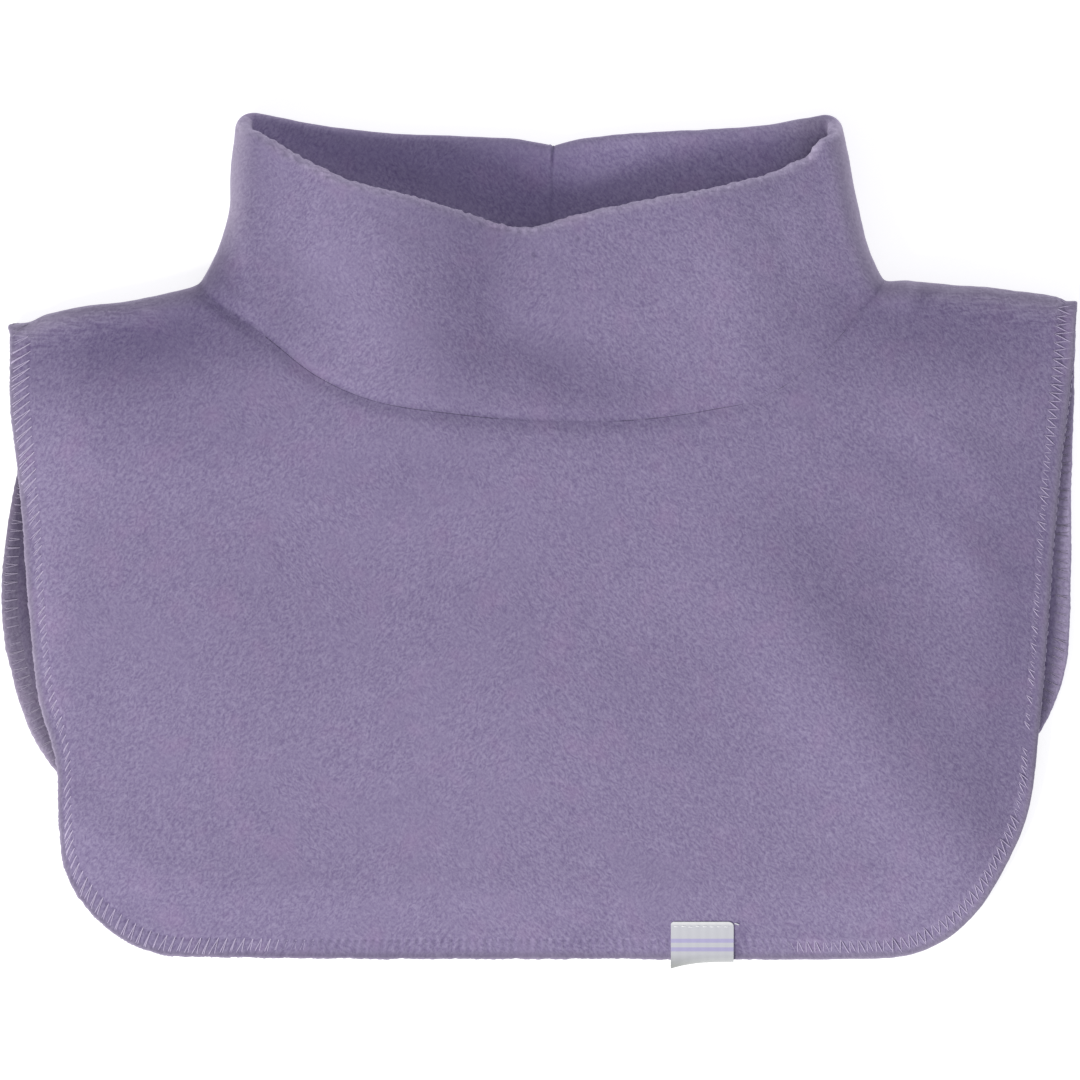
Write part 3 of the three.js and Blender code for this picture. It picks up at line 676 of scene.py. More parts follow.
def widening(coarse, fine, backwards):
    """Faces between a row of vertices and a finer row: two of the one, and all between them of the other."""
    times = len(fine) // len(coarse)
    runs = (np.arange(len(coarse))[:, None] * times + np.arange(times + 1)) % len(fine)
    ends = np.stack([coarse, np.roll(coarse, -1)], axis=-1)
    faces = np.hstack([ends, fine[runs][:, ::-1]])
    return (faces[:, ::-1] if backwards else faces).tolist()


def ring_skin(coarse, fine):
    """Points and faces of a ring whose sections run along the coarse grid, then along the fine one."""
    coarse_index = np.arange(coarse.shape[0] * coarse.shape[1]).reshape(coarse.shape[:2])
    fine_index = coarse_index.size + np.arange(fine.shape[0] * fine.shape[1]).reshape(fine.shape[:2])
    faces = (
        squares(coarse_index)
        + widening(coarse_index[:, -1], fine_index[:, 0], False)
        + squares(fine_index)
        + widening(coarse_index[:, 0], fine_index[:, -1], True)
    )
    return np.concatenate([coarse.reshape(-1, 3), fine.reshape(-1, 3)]), faces


def new_piece(name, points, faces):
    """A smooth mesh object from points in the tables' millimetres. Its faces are turned to point out:
    the sum of the signed volumes under them has to be positive."""
    mesh = bpy.data.meshes.new(name)
    mesh.from_pydata(((points - MIDDLE) * MM).tolist(), [], faces)
    mesh.update()
    corners = np.array([face[:3] for face in faces])
    a, b, c = (points[corners[:, k]] for k in range(3))
    if (a * np.cross(b, c)).sum() < 0:
        mesh.flip_normals()
    mesh.shade_smooth()
    piece = bpy.data.objects.new(name, mesh)
    bpy.context.scene.collection.objects.link(piece)
    print(name, sum(len(face) - 2 for face in faces), "triangles")
    return piece


def vertex_array(mesh, what):
    """Places in the tables' millimetres, or normals, of all vertices."""
    flat = np.empty(len(mesh.vertices) * 3, np.float32)
    if what == "normal":
        mesh.vertex_normals.foreach_get("vector", flat)
        return flat.reshape(-1, 3).astype(float)
    mesh.vertices.foreach_get("co", flat)
    return flat.reshape(-1, 3).astype(float) / MM + MIDDLE


def displace(piece, heights):
    """Moves every vertex along its normal by a height in millimetres, and none below the table."""
    points = vertex_array(piece.data, "place") + vertex_array(piece.data, "normal") * heights[:, None]
    points[:, 2] = np.maximum(points[:, 2], 0)
    piece.data.vertices.foreach_set("co", ((points - MIDDLE) * MM).astype(np.float32).ravel())
    piece.data.update()
    return points


def ripples(points, size, seed):
    """Random smooth heights, mostly between -1 and 1: plane waves about `size` long, added up."""
    rng = np.random.default_rng(seed)
    total = np.zeros(len(points))
    for direction in unit(rng.normal(size=(20, 3))):
        length = size * rng.uniform(0.7, 1.5)
        total += np.sin(points @ direction * (2 * np.pi / length) + rng.uniform(0, 2 * np.pi))
    return total / 6


def set_attribute(piece, name, values):
    """One number for each vertex, which the material reads by name."""
    attribute = piece.data.attributes.new(name, "FLOAT", "POINT")
    attribute.data.foreach_set("value", values.astype(np.float32))


def on_skin(grids, coarse_values, fine_values):
    """A value for each vertex of a skin, from those on its coarse grid and on its fine one. They may be
    given for the columns, for the places round the ring, or for both."""
    pairs = zip(grids, (coarse_values, fine_values))
    return np.concatenate([np.broadcast_to(values, grid.shape[:2]).ravel() for grid, values in pairs])


UNEVEN = ((0.04, 4.5), (0.12, 13))  # rise and length of the fleece's fine and slow unevenness


def fleece_ripples(points, seed):
    """Unevenness of the fleece, in millimetres."""
    return sum(rise * ripples(points, long, seed + k) for k, (rise, long) in enumerate(UNEVEN))


def crease_shade(seam, grid):
    """Painted shade round the seam's crease: a ragged thin line, and a faint wide one."""
    distance = from_seam(seam, grid)
    ragged = LINE["ragged"] * ripples(grid.reshape(-1, 3), LINE["long"], 8).reshape(distance.shape)
    thin = np.clip(LINE["dark"] + ragged, 0, LINE["most"]) * bell(distance, LINE["half"])
    return seam["line"][:, None] * (thin + LINE["beside"] * bell(distance, SEAM_HALF))


# %% [markdown]
# ## The yoke
# One layer of fleece with rounded cut edges. Round its neck hole it is sewn to the collar, and the seam
# draws both down into a soft crease. Its outer band is where the machine has bound it: the threads press
# the pile down, most of all along the needle line, and the cloth swells between them.

# %% The yoke's skin
YOKE_RING = {"front": 260, "back": 200, "turn": 8}
EDGE_TIMES = 4  # points along the bound edge for each place round the ring
BAND = 5.6  # from the needle line to the middle of the rounded edge
UPPER_ROWS, LOWER_ROWS = 62, 24
BAND_ROWS = np.array([0, 0.3, 0.65, 1.05, 1.6, 2.4, 3.3, 4.2, 5.0]) / BAND
BAND_JOIN = 0.997  # share of the way to the band at which the coarse rows end
RIM = np.linspace(90, -90, 8)

places = ring(**YOKE_RING)
fine_places = ring(**{name: steps * EDGE_TIMES for name, steps in YOKE_RING.items()})
whole = round_ring(yoke_at, fine_places, [1 - SHARE_STEP, 1.0])
speed = np.linalg.norm(whole[:, 1] - whole[:, 0], axis=-1)[:, None] / SHARE_STEP
band_share = BAND / speed
band_start = (1 - band_share)[::EDGE_TIMES]
millimetre = millimetre_shares(yoke_at, places)
inner_end = mix(millimetre * SEAM_INSET, band_start, BAND_JOIN)
lower_rows = mix(millimetre * SEAM_INSET, inner_end, spread_rows(LOWER_ROWS))

upper = framed(round_ring(yoke_at, places, near_rows(UPPER_ROWS, millimetre, inner_end)), -1)
lower = framed(round_ring(yoke_at, places, lower_rows), -1)
band = framed(round_ring(yoke_at, fine_places, 1 - band_share * (1 - np.append(BAND_ROWS, 1))), -1)
seam = seam_line(places)

coarse = np.concatenate([
    raised(lower, -HALF_PLY)[:, ::-1],
    seam_cap(seam, upper, 0),
    raised(upper, HALF_PLY - dip_at(seam, upper["point"])),
], axis=1)
edge = np.concatenate([
    raised(band, HALF_PLY)[:, :-1],
    rounded(band, -1, 0, HALF_PLY, HALF_PLY, RIM),
    raised(band, -HALF_PLY)[:, :-1][:, ::-1],
], axis=1)
yoke_grids = (coarse, edge)
yoke = new_piece("yoke_cloth", *ring_skin(*yoke_grids))
# Painted shade of the neck seam's crease on the yoke
yoke_crease = crease_shade(seam, coarse)
yoke_calm = 1 - bell(from_seam(seam, coarse), SEAM_CALM)

# %% [markdown]
# ## How the stitches press the edge
# At every stitch the upper thread comes from the edge to a needle hole and goes back to the edge, like an
# inverted V. A table says how far the V leans along the edge and how wide it opens, both in stitches, how
# much of the thread shows above the pile, how deep it presses the cloth, and how far out it still shows.
# Its places count from 0 at the left shoulder along the front's edge to 1 at the right shoulder, and on to
# 2 along the back.

# %% Stitch marks in the band
STITCH = 2.65  # length of one stitch
STITCHES = columns("place lean opening show depth end", [
    (0, 1.3, 0.22, 0.62, 0.6, 0.85), (0.07, 1.2, 0.22, 0.55, 0.7, 0.75), (0.1, 1, 0.26, 0.45, 0.8, 0.5),
    (0.2, 0.9, 0.3, 0.4, 0.8, 0.45), (0.24, 0.8, 0.25, 0.55, 0.9, 0.6), (0.28, 0.4, 0.25, 0.7, 1, 0.7),
    (0.34, 0, 0.28, 0.75, 1, 0.7), (0.37, 0, 0.3, 0.3, 0.9, 0.6), (0.41, 0, 0.35, -0.4, 0.9, 0.6),
    (0.6, -0.1, 0.35, -0.4, 0.6, 0.6), (0.63, -0.3, 0.7, 0.55, 0.2, 0.6), (0.67, -0.3, 0.8, 0.75, 0.2, 0.65),
    (0.74, -0.1, 0.8, 0.75, 0.2, 0.6), (0.8, 0, 0.7, 0.4, 0.3, 0.45), (0.93, 0, 0.9, 0.45, 0.3, 0.5),
    (0.96, 0.1, 0.8, 0.85, 0.3, 0.5), (1, 0.1, 0.8, 0.85, 0.3, 0.5), (1.02, -1.7, 0.2, 0.45, 0.4, 0.85),
    (1.12, -1.7, 0.2, 0.45, 0.4, 0.85), (1.22, -1.1, 0.2, 0.45, 0.4, 0.85),
    (1.32, -0.5, 0.2, 0.4, 0.4, 0.85), (1.68, 0.5, 0.14, 0.35, 0.5, 0.85),
    (1.78, 1.1, 0.14, 0.45, 0.5, 0.85), (1.88, 1.7, 0.14, 0.45, 0.5, 0.85),
    (1.97, 1.7, 0.14, 0.45, 0.5, 0.85), (2, 1.2, 0.22, 0.62, 0.6, 0.85),
])
RIM_THREAD = columns("place show", [(0.78, 0.0), (0.83, 1.2), (0.97, 1.2), (0.99, 0.0)])
# How far the binding draws the cloth in, along the edge and at the right shoulder: depth, distance from
# the needle line where it is whole, and what is left of it in the middle of the band or at the rim. At the
# shoulder it reaches this share of the front's edge both ways.
SQUEEZE = {"deep": 0.18, "whole": 2.4, "middle": 0.5}
SHOULDER_SQUEEZE = {"deep": 0.7, "whole": 2.6, "rim": 0.15, "reach": 0.014}
# Where the way from needle line to edge nears the rim, for the squeeze, the lumps and the back's shade
RIM_FROM = {"squeeze": (0.4, 0.95), "lumps": (0.65, 0.95), "shade": (0.35, 0.85)}
RIM_LUMPS = {"long": 2.2, "rise": 0.18}
# The trace of the threads: half-widths of a leg, of the needle line and of a hole along it, and depths
TRACE = {"leg": 0.42, "line": 0.4, "hole": 0.62, "leg_deep": 0.2, "line_deep": 0.03, "hole_deep": 0.25}
# How much darker the dents of the legs, the needle line and its holes are painted, as shade
TRACE_DARK = {"leg": 0.4, "line": 0.04, "hole": 0.4}
NEEDLE_AT = 0.5  # distance of the needle holes from where the band starts
rim_line = edge[:, len(BAND_ROWS) + len(RIM) // 2]
steps = np.linalg.norm(np.roll(rim_line, -1, 0) - rim_line, axis=-1)
edge_along = np.concatenate([[0], np.cumsum(steps)[:-1]])
edge_length = steps.sum()
stitch_count = round(edge_length / STITCH)
pitch = edge_length / stitch_count
print("cut edge", round(edge_length), "mm,", stitch_count, "stitches")

COUNT_ON = {"front": lambda v: v, "right": lambda v: 0 * v + 1, "back": lambda v: 2 - v,
            "left": lambda v: 0 * v + 2}
edge_place = np.concatenate([COUNT_ON[name](values) for name, values in fine_places])


def stitch_at(along, column):
    """A column of the stitch table at a distance along the edge."""
    place = np.interp(np.mod(along, edge_length), edge_along, edge_place)
    return np.interp(place, STITCHES["place"], STITCHES[column])


# Distance from the upper needle line, over the rim, to the lower one
rim_across = BAND + np.radians(90 - RIM) * HALF_PLY
band_across = np.concatenate([
    BAND_ROWS * BAND,
    rim_across,
    2 * BAND + np.pi * HALF_PLY - (BAND_ROWS * BAND)[::-1],
])
reach = band_across[-1] / 2


def leg_distance(along, outward):
    """Distance along the edge from the nearest thread leg, `outward` of the way from needle line to edge."""
    middle = stitch_at(along, "lean") * pitch * outward
    half = stitch_at(along, "opening") * pitch * outward
    legs = [np.abs(np.mod(along - middle - side * half + pitch / 2, pitch) - pitch / 2) for side in (-1, 1)]
    return np.minimum(*legs)


outward = 1 - np.abs(band_across / reach - 1)
along_grid = np.broadcast_to(edge_along[:, None], (len(edge_along), len(outward)))
pressed_and_shaded = bell(leg_distance(along_grid, outward[None, :]), TRACE["leg"])
needle_line = bell(outward * reach - NEEDLE_AT, TRACE["line"])[None, :]
hole = bell(np.mod(along_grid + pitch / 2, pitch) - pitch / 2, TRACE["hole"])
depth = stitch_at(along_grid, "depth")
line_deep = TRACE["line_deep"] + TRACE["hole_deep"] * hole
edge_height = -depth * (TRACE["leg_deep"] * pressed_and_shaded + needle_line * line_deep)
bound = smooth_step(outward * reach, 0, SQUEEZE["whole"])
edge_height -= SQUEEZE["deep"] * bound * (1 - SQUEEZE["middle"] * np.sin(np.pi * outward) ** 2)
from_shoulder = np.abs(edge_place - 1)[:, None]
at_rim = (1 - SHOULDER_SQUEEZE["rim"]) * smooth_step(outward, *RIM_FROM["squeeze"])
pulled_in = smooth_step(outward * reach, 0, SHOULDER_SQUEEZE["whole"]) * (1 - at_rim)
edge_height -= SHOULDER_SQUEEZE["deep"] * bell(from_shoulder, SHOULDER_SQUEEZE["reach"]) * pulled_in
lumps = ripples(edge.reshape(-1, 3), RIM_LUMPS["long"], 9).reshape(edge_height.shape)
edge_height += RIM_LUMPS["rise"] * depth * lumps * smooth_step(outward, *RIM_FROM["lumps"])

ALLOWANCE = {"x": 109.5, "y": 73.0, "half": 4.2, "rise": 0.7}  # the end of the neck seam under the cloth
LABEL_CALM = (0.5, 2.5)  # distances from the label between which the cloth grows uneven again


def beside_label(points):
    """Zero under the label, and one well beside it or above it."""
    beside = np.abs(points[:, 0] - LABEL["x"]) - LABEL["width"] / 2
    above = points[:, 1] - LABEL["top"]
    return np.maximum(smooth_step(beside, *LABEL_CALM), smooth_step(above, *LABEL_CALM))


skin = vertex_array(yoke.data, "place")
calm = beside_label(skin) * on_skin(yoke_grids, yoke_calm, 1)
heights = calm * fleece_ripples(skin, 3) + on_skin(yoke_grids, 0, edge_height)
allowance = bell(np.hypot(skin[:, 0] - ALLOWANCE["x"], skin[:, 1] - ALLOWANCE["y"]), ALLOWANCE["half"])
heights += ALLOWANCE["rise"] * allowance * calm * (skin[:, 2] > 2 * PLY)
skin = displace(yoke, heights)
edge_skin = skin[yoke_calm.size:].reshape(edge.shape)
# The dents that the threads press into the band are painted darker, as shade
line_dark = TRACE_DARK["line"] + TRACE_DARK["hole"] * hole
edge_pressed_shade = depth * (TRACE_DARK["leg"] * pressed_and_shaded + needle_line * line_dark)
set_attribute(yoke, "pressed_and_shaded", on_skin(yoke_grids, yoke_crease, edge_pressed_shade))

# %% [markdown]
# ## The overlock threads
# Three threads bind the edge. The needle thread runs on along the needle line, and two looper threads
# zigzag from it to the edge, one on the upper face and one on the lower. A thread is a tube with few
# sides along a path on the finished skin. How high it lies says how much of it the pile hides.

# %% Threads along the edge
THREAD = 0.17  # radius
BACK_THREAD_SHADE = 0.6  # painted shade of the threads on the back panel, which lies in the shade
TUBE_SIDES = 4
TUBE_END = 0.3  # share of the radius at both ends of a tube
SHOW_LIFT = 1.1  # radii over the pile of a thread that shows whole, and under it of a hidden one
SLACK, LOOSE = 0.3, 0.06  # how far thread legs stray along the edge and above the pile
UNSEEN = {"needle": 0.9, "past_end": 0.9, "start": 0.45}  # how much less shows there
# Where the thread dips in: before and after its end, and from the needle line, as shares of the band
PAST_END, AT_START = (-0.12, 0.08), (0.0, 0.2)
NEEDLE_ACROSS = 0.05  # of the needle thread, from the band's start


def on_band(along, across):
    """Point of the finished band at a distance along the edge and one across it, and its normal there:
    the grid's rows and columns blended in both directions."""
    turns = np.append(edge_along, edge_length)
    column = np.interp(np.mod(along, edge_length), turns, np.arange(len(turns)))
    row = np.interp(across, band_across, np.arange(len(band_across)))
    i, j = np.floor(column).astype(int), np.minimum(np.floor(row).astype(int), len(band_across) - 2)
    u, v = (column - i)[..., None], (row - j)[..., None]
    i, on = i % len(edge_along), (i + 1) % len(edge_along)
    near = mix(edge_skin[i, j], edge_skin[on, j], u)
    far = mix(edge_skin[i, j + 1], edge_skin[on, j + 1], u)
    around = mix(edge_skin[on, j] - edge_skin[i, j], edge_skin[on, j + 1] - edge_skin[i, j + 1], v)
    return mix(near, far, v), unit(np.cross(far - near, around))


def tubes(paths, normals, radius):
    """Tubes along many paths at once. The section's corners lie round the path, between the surface's
    normal and the direction square to both. Every tube narrows to its ends."""
    run = unit(np.gradient(paths, axis=1))
    side = unit(np.cross(run, normals))
    up = np.cross(side, run)
    angle = 2 * np.pi * np.arange(TUBE_SIDES) / TUBE_SIDES
    taper = np.ones(paths.shape[1])
    taper[[0, -1]] = TUBE_END
    around = np.cos(angle)[:, None] * side[:, :, None] + np.sin(angle)[:, None] * up[:, :, None]
    points = paths[:, :, None] + around * radius * taper[:, None, None]
    count, length = paths.shape[:2]
    index = np.arange(count * length * TUBE_SIDES).reshape(count, length, TUBE_SIDES)
    on = np.roll(index, -1, 2)
    sides = np.stack([index[:, :-1], index[:, 1:], on[:, 1:], on[:, :-1]], axis=-1).reshape(-1, 4)
    caps = np.concatenate([index[:, 0, ::-1], index[:, -1]])
    return points.reshape(-1, 3), sides.tolist() + caps.tolist()


stitch_starts = np.arange(stitch_count)[:, None] * pitch
t = np.linspace(0, 1, 7)[None, :]
rng = np.random.default_rng(11)
slack = rng.normal(0, SLACK, (stitch_count, 1)) * t
looseness = rng.normal(0, LOOSE, (stitch_count, 1))
lean, opening = stitch_at(stitch_starts, "lean"), stitch_at(stitch_starts, "opening")
leg_runs = {
    "before": stitch_starts + pitch * (lean - opening) * t + slack,
    "after": stitch_starts + pitch * (lean + opening) * t - slack,
}
paths = {}
for name, along in leg_runs.items():
    paths["upper_" + name] = (along, reach * t)
    paths["lower_" + name] = (along, 2 * reach - reach * t)
paths["needle"] = (stitch_starts + pitch * t, NEEDLE_ACROSS + 0.0 * t)
paths["rim"] = (stitch_starts + pitch * (lean + opening + (1 - 2 * opening) * t), reach + 0.0 * t)

thread_points, thread_faces, thread_tone, offset = [], [], [], 0
for name, (along, across) in paths.items():
    along, across = np.broadcast_arrays(along, across)
    place, normal = on_band(along, across)
    out = 1 - np.abs(across / reach - 1)
    past_end = smooth_step(out - stitch_at(along, "end"), *PAST_END)
    at_start = 1 - smooth_step(out, *AT_START)
    show = stitch_at(along, "show") - UNSEEN["past_end"] * past_end - UNSEEN["start"] * at_start
    if name == "needle":
        show = show - UNSEEN["needle"]
    place_round = np.interp(np.mod(along, edge_length), edge_along, edge_place)
    if name == "rim":
        show = show + np.interp(place_round, RIM_THREAD["place"], RIM_THREAD["show"])
    lift = THREAD * SHOW_LIFT * (2 * show - 1) + looseness
    points, faces = tubes(place + normal * lift[..., None], normal, THREAD)
    thread_points.append(points)
    # Threads on the back panel are painted darker, as shade
    thread_tone.append(np.repeat(np.where(place_round > 1, BACK_THREAD_SHADE, 1), TUBE_SIDES))
    thread_faces += [[k + offset for k in face] for face in faces]
    offset += len(points)
thread_points = np.concatenate(thread_points)
thread_points[:, 2] = np.maximum(thread_points[:, 2], 0)
thread = new_piece("overlock_threads", thread_points, thread_faces)
set_attribute(thread, "tone_and_painted_shade", np.concatenate(thread_tone))

# %% [markdown]
# ## The collar
# A strip folded double along its top, so its section goes up the outer face, over the fold, down the
# inner face and back up and down in the slot between the two layers. The strip is closed by a seam at the
# centre of the back, which pulls a groove into both faces and a notch into the fold. The fold is brushed
# up by wear, so small tufts break its line.

# %% The collar's skin
COLLAR_RING = {"front": 290, "back": 250, "turn": 20}
FOLD_TIMES = 2
OUTER_ROWS, INNER_ROWS, SLOT_ROWS = 44, 34, 4
FOLD_ROWS = np.array([3.2, 2.7, 2.2, 1.75, 1.3, 0.85, 0.4])  # distances below the fold's middle, in mm
FOLD_ARC = np.linspace(90, -90, 19)
FOLD_JOIN = 0.012  # share of the height between the coarse rows and those of the fold
WALL_HEIGHT = 51.0
HAIR = 0.02  # how far above the seam line the collar's inner layer ends

collar_places = ring(**COLLAR_RING)
fold_places = ring(**{name: steps * FOLD_TIMES for name, steps in COLLAR_RING.items()})
millimetre = millimetre_shares(collar_at, collar_places)
collar_start = millimetre * SEAM_INSET
fold_start = 1 - FOLD_ROWS / WALL_HEIGHT
wall_end = fold_start[0] - FOLD_JOIN


def collar_wall(rows):
    """Frames of the collar's wall on these rows."""
    return framed(round_ring(collar_at, collar_places, rows), 1)


outer = collar_wall(near_rows(OUTER_ROWS, millimetre, wall_end))
inner = collar_wall(mix(collar_start, wall_end, spread_rows(INNER_ROWS)))
slot = collar_wall(mix(collar_start, 1.0, spread_rows(SLOT_ROWS)))
fold = framed(round_ring(collar_at, fold_places, np.append(fold_start, 1.0)), 1)
seam = seam_line(collar_places)
collar_coarse = np.concatenate([
    raised(inner, -HALF_WALL)[:, ::-1],
    rounded(inner, 0, -LAYER_OFFSET, HALF_PLY, HAIR - SEAM_INSET, [-60, 0, 60]),
    raised(slot, -FOLD_SLOT / 2),
    rounded(slot, -1, 0, FOLD_SLOT / 2, FOLD_SLOT / 2, [0]),
    raised(slot, FOLD_SLOT / 2)[:, ::-1],
    seam_cap(seam, outer, LAYER_OFFSET),
    raised(outer, HALF_WALL - dip_at(seam, outer["point"] + outer["normal"] * LAYER_OFFSET)),
], axis=1)
collar_fold = np.concatenate([
    raised(fold, HALF_WALL)[:, :-1],
    rounded(fold, -1, 0, HALF_WALL, HALF_WALL, FOLD_ARC),
    raised(fold, -HALF_WALL)[:, :-1][:, ::-1],
], axis=1)
collar_grids = (collar_coarse, collar_fold)
collar = new_piece("collar_cloth", *ring_skin(*collar_grids))
# Painted shade of the neck seam's crease on the collar
collar_crease = crease_shade(seam, collar_coarse)
collar_calm = 1 - bell(from_seam(seam, collar_coarse), SEAM_CALM)

# %% Pile, tufts, back seam and pits of the collar
BACK_TOP = 2 * HALF_WALL  # level of the upper face of the collar's back
# The back seam's groove and ridge; the dark values are the painted shade in its groove
BACK_SEAM = {"top_x": 4.0, "top_y": 117.0, "lean": 0.035, "half": 0.4, "depth": 0.3, "ridge": 0.9,
             "ridge_rise": 0.25, "dark_top": 0.9, "dark_low": 0.25, "dark_reach": 5}
TUFT = {"long": 2.4, "rise": 0.28}
PITS = columns("x y half depth", [(-1.4, 85.0, 0.55, 0.7), (11.5, 90.0, 0.5, 0.5)])
# By the columns of the fold's grid, whose arc is 7 to 25: open nap with its painted sheen, tufts, pale crest as a
# painted highlight, and inner side
OVER_FOLD = {
    "open": [(4, 0), (9, 0.3), (13, 0.6), (25, 0.6), (32, 0)],
    "tufts": [(7, 0), (11, 1), (25, 1), (31, 0)],
    "crest": [(7, 0), (9, 0.4), (11.5, 1), (14, 1), (25, 0.8), (30, 0)],
    "inside": [(14, 0), (24, 1)],
}


def over_fold(name, coarse_values=0):
    """A value for each vertex of the collar: on the fold by its column, and elsewhere as given."""
    at, value = zip(*OVER_FOLD[name])
    return on_skin(collar_grids, coarse_values, np.interp(np.arange(collar_fold.shape[1]), at, value))


skin = vertex_array(collar.data, "place")
heights = on_skin(collar_grids, collar_calm, 1) * fleece_ripples(skin, 5)
in_front = smooth_step(skin[:, 2], BACK_TOP, BACK_TOP + 4)
heights += TUFT["rise"] * over_fold("tufts") * in_front * ripples(skin, TUFT["long"], 7)
on_back = skin[:, 2] < BACK_TOP + 0.5
beside = skin[:, 0] - BACK_SEAM["top_x"] - BACK_SEAM["lean"] * (skin[:, 1] - BACK_SEAM["top_y"])
groove = bell(beside, BACK_SEAM["half"]) * on_back
ridge = bell(beside + BACK_SEAM["ridge"], BACK_SEAM["half"]) * on_back
heights += BACK_SEAM["ridge_rise"] * ridge - BACK_SEAM["depth"] * groove
on_front = skin[:, 2] > BACK_TOP + 4
pits = np.zeros(len(skin))
for x, y, half, depth in zip(*PITS.values()):
    pits += depth * bell(np.hypot(skin[:, 0] - x, skin[:, 1] - y), half) * on_front
displace(collar, heights - pits)
# The neck seam's crease, the back seam's groove and the pits are painted darker, as shade
crease = on_skin(collar_grids, collar_crease, 0)
near_top = bell(skin[:, 1] - BACK_SEAM["top_y"], BACK_SEAM["dark_reach"])
pulled = mix(BACK_SEAM["dark_low"], BACK_SEAM["dark_top"], near_top)
set_attribute(collar, "pressed_and_shaded", pulled * groove + pits + crease)

# %% [markdown]
# ## The label
# A ribbon of satin folded round the hem and sewn down near its ends.

# %% The label's ribbon
LABEL_LENGTH = 31.0  # of the ribbon, from end to end
LABEL_ENDS = np.array([0, 0.05, 0.15, 0.3, 0.5, 0.75, 1.05, 1.4, 1.8]) / LABEL_LENGTH
LABEL_CORNERS = (1.0, 1.7)  # radii, left and right
LABEL_GAP = 0.06  # above the hem's fleece, which is flat there
LABEL_SIDES = np.sin(np.linspace(-1, 1, 31) * np.pi / 2) / 2 + 0.5


def label_top(x, y):
    """Level of the middle of the ribbon's upper leg."""
    return front_level(x, y) + HALF_PLY + LABEL_GAP + LABEL_PLY / 2


def label_at(width, length):
    """Middle of the ribbon: down the front of the hem, half round below it, and back under it. Near its
    ends it narrows, so that its corners are quarters of a circle."""
    from_end = np.minimum(length, 1 - length)
    corner = np.where(width < 0.5, *LABEL_CORNERS)
    inside = np.clip(corner - from_end * LABEL_LENGTH, 0, corner)
    narrowed = LABEL["width"] / 2 - corner + np.sqrt(corner**2 - inside**2)
    x = LABEL["x"] + (2 * width - 1) * narrowed
    fold = mix(LABEL["fold_left"], LABEL["fold_right"], 1 - (1 - width) ** 3) + LABEL_PLY / 2
    lower = LABEL["clear"] + LABEL_PLY / 2
    middle, reach = (label_top(x, fold) + lower) / 2, (label_top(x, fold) - lower) / 2
    run = LABEL["top"] - fold - reach
    flat = run / (2 * run + np.pi * reach)
    y = mix(LABEL["top"], fold + reach, from_end / flat)
    turn = np.pi * (length - flat) / (1 - 2 * flat)
    round_y = fold + reach * (1 - np.sin(turn))
    round_z = middle + reach * np.cos(turn)
    is_flat = from_end <= flat
    y = np.where(is_flat, y, round_y)
    z = np.where(is_flat, np.where(length < 0.5, label_top(x, y), lower), round_z)
    return np.stack([x, y, z], axis=-1)


along_label = np.concatenate([LABEL_ENDS, np.linspace(0.075, 0.925, 46), 1 - LABEL_ENDS[::-1]])
LABEL_GRID = (len(LABEL_SIDES), len(along_label))
width, length = np.meshgrid(LABEL_SIDES, along_label, indexing="ij")
ribbon = label_at(width, length)
ribbon_normal = unit(np.cross(np.gradient(ribbon, axis=1), np.gradient(ribbon, axis=0)))
loops = np.concatenate([
    ribbon + ribbon_normal * LABEL_PLY / 2,
    (ribbon - ribbon_normal * LABEL_PLY / 2)[:, ::-1],
], axis=1)
index = np.arange(loops.shape[0] * loops.shape[1]).reshape(loops.shape[:2])
closed = np.hstack([index, index[:, :1]])
label_faces = np.stack([closed[:-1, :-1], closed[1:, :-1], closed[1:, 1:], closed[:-1, 1:]], axis=-1)


def end_faces(row, backwards):
    """Faces across the ribbon's thickness at one of its long edges."""
    top, bottom = row[:LABEL_GRID[1]], row[LABEL_GRID[1]:][::-1]
    faces = np.stack([top[:-1], top[1:], bottom[1:], bottom[:-1]], axis=-1)
    return (faces[:, ::-1] if backwards else faces).tolist()


label = new_piece(
    "label_ribbon",
    loops.reshape(-1, 3),
    label_faces.reshape(-1, 4).tolist() + end_faces(index[0], False) + end_faces(index[-1], True),
)

# %% The label's stitches
LABEL_SEAM = {"below": 1.4, "inset": 0.8, "count": 8, "share": 0.75, "radius": 0.15, "stray": 0.06,
              "rise": 0.12, "sunk": 0.08}  # the share is that of the pitch that shows
TAIL = {"inset": 0.3, "below": 0.8, "sway": 0.25, "over": 0.35}  # the loose end at the right
rng = np.random.default_rng(21)
seam_length = LABEL["width"] - 2 * LABEL_SEAM["inset"]
starts = LABEL["x"] + (np.arange(LABEL_SEAM["count"]) / LABEL_SEAM["count"] - 0.5)[:, None] * seam_length
steps = np.linspace(0, 1, 6)[None, :]
stitch_x = starts + LABEL_SEAM["share"] * seam_length / LABEL_SEAM["count"] * steps
stray = rng.normal(0, LABEL_SEAM["stray"], starts.shape)
stitch_y = LABEL["top"] - LABEL_SEAM["below"] + stray + 0 * steps
arch = LABEL_SEAM["rise"] * np.sin(np.pi * steps) - LABEL_SEAM["sunk"]
stitch_z = label_top(stitch_x, stitch_y) + LABEL_PLY / 2 + arch
tail = rng.uniform(0.2, 0.4, 6).cumsum()[None, :]
tail_x = LABEL["x"] + LABEL["width"] / 2 - TAIL["inset"] + tail
tail_y = LABEL["top"] - TAIL["below"] + TAIL["sway"] * np.sin(2 * tail)
tail_z = front_level(tail_x, tail_y) + HALF_PLY + TAIL["over"]
runs = ((stitch_x, stitch_y, stitch_z), (tail_x, tail_y, tail_z))
stitch_paths = np.concatenate([np.stack(run, axis=-1) for run in runs])
label_tubes = tubes(stitch_paths, np.array([0, 0, 1.0]), LABEL_SEAM["radius"])
label_thread = new_piece("label_stitches", *label_tubes)
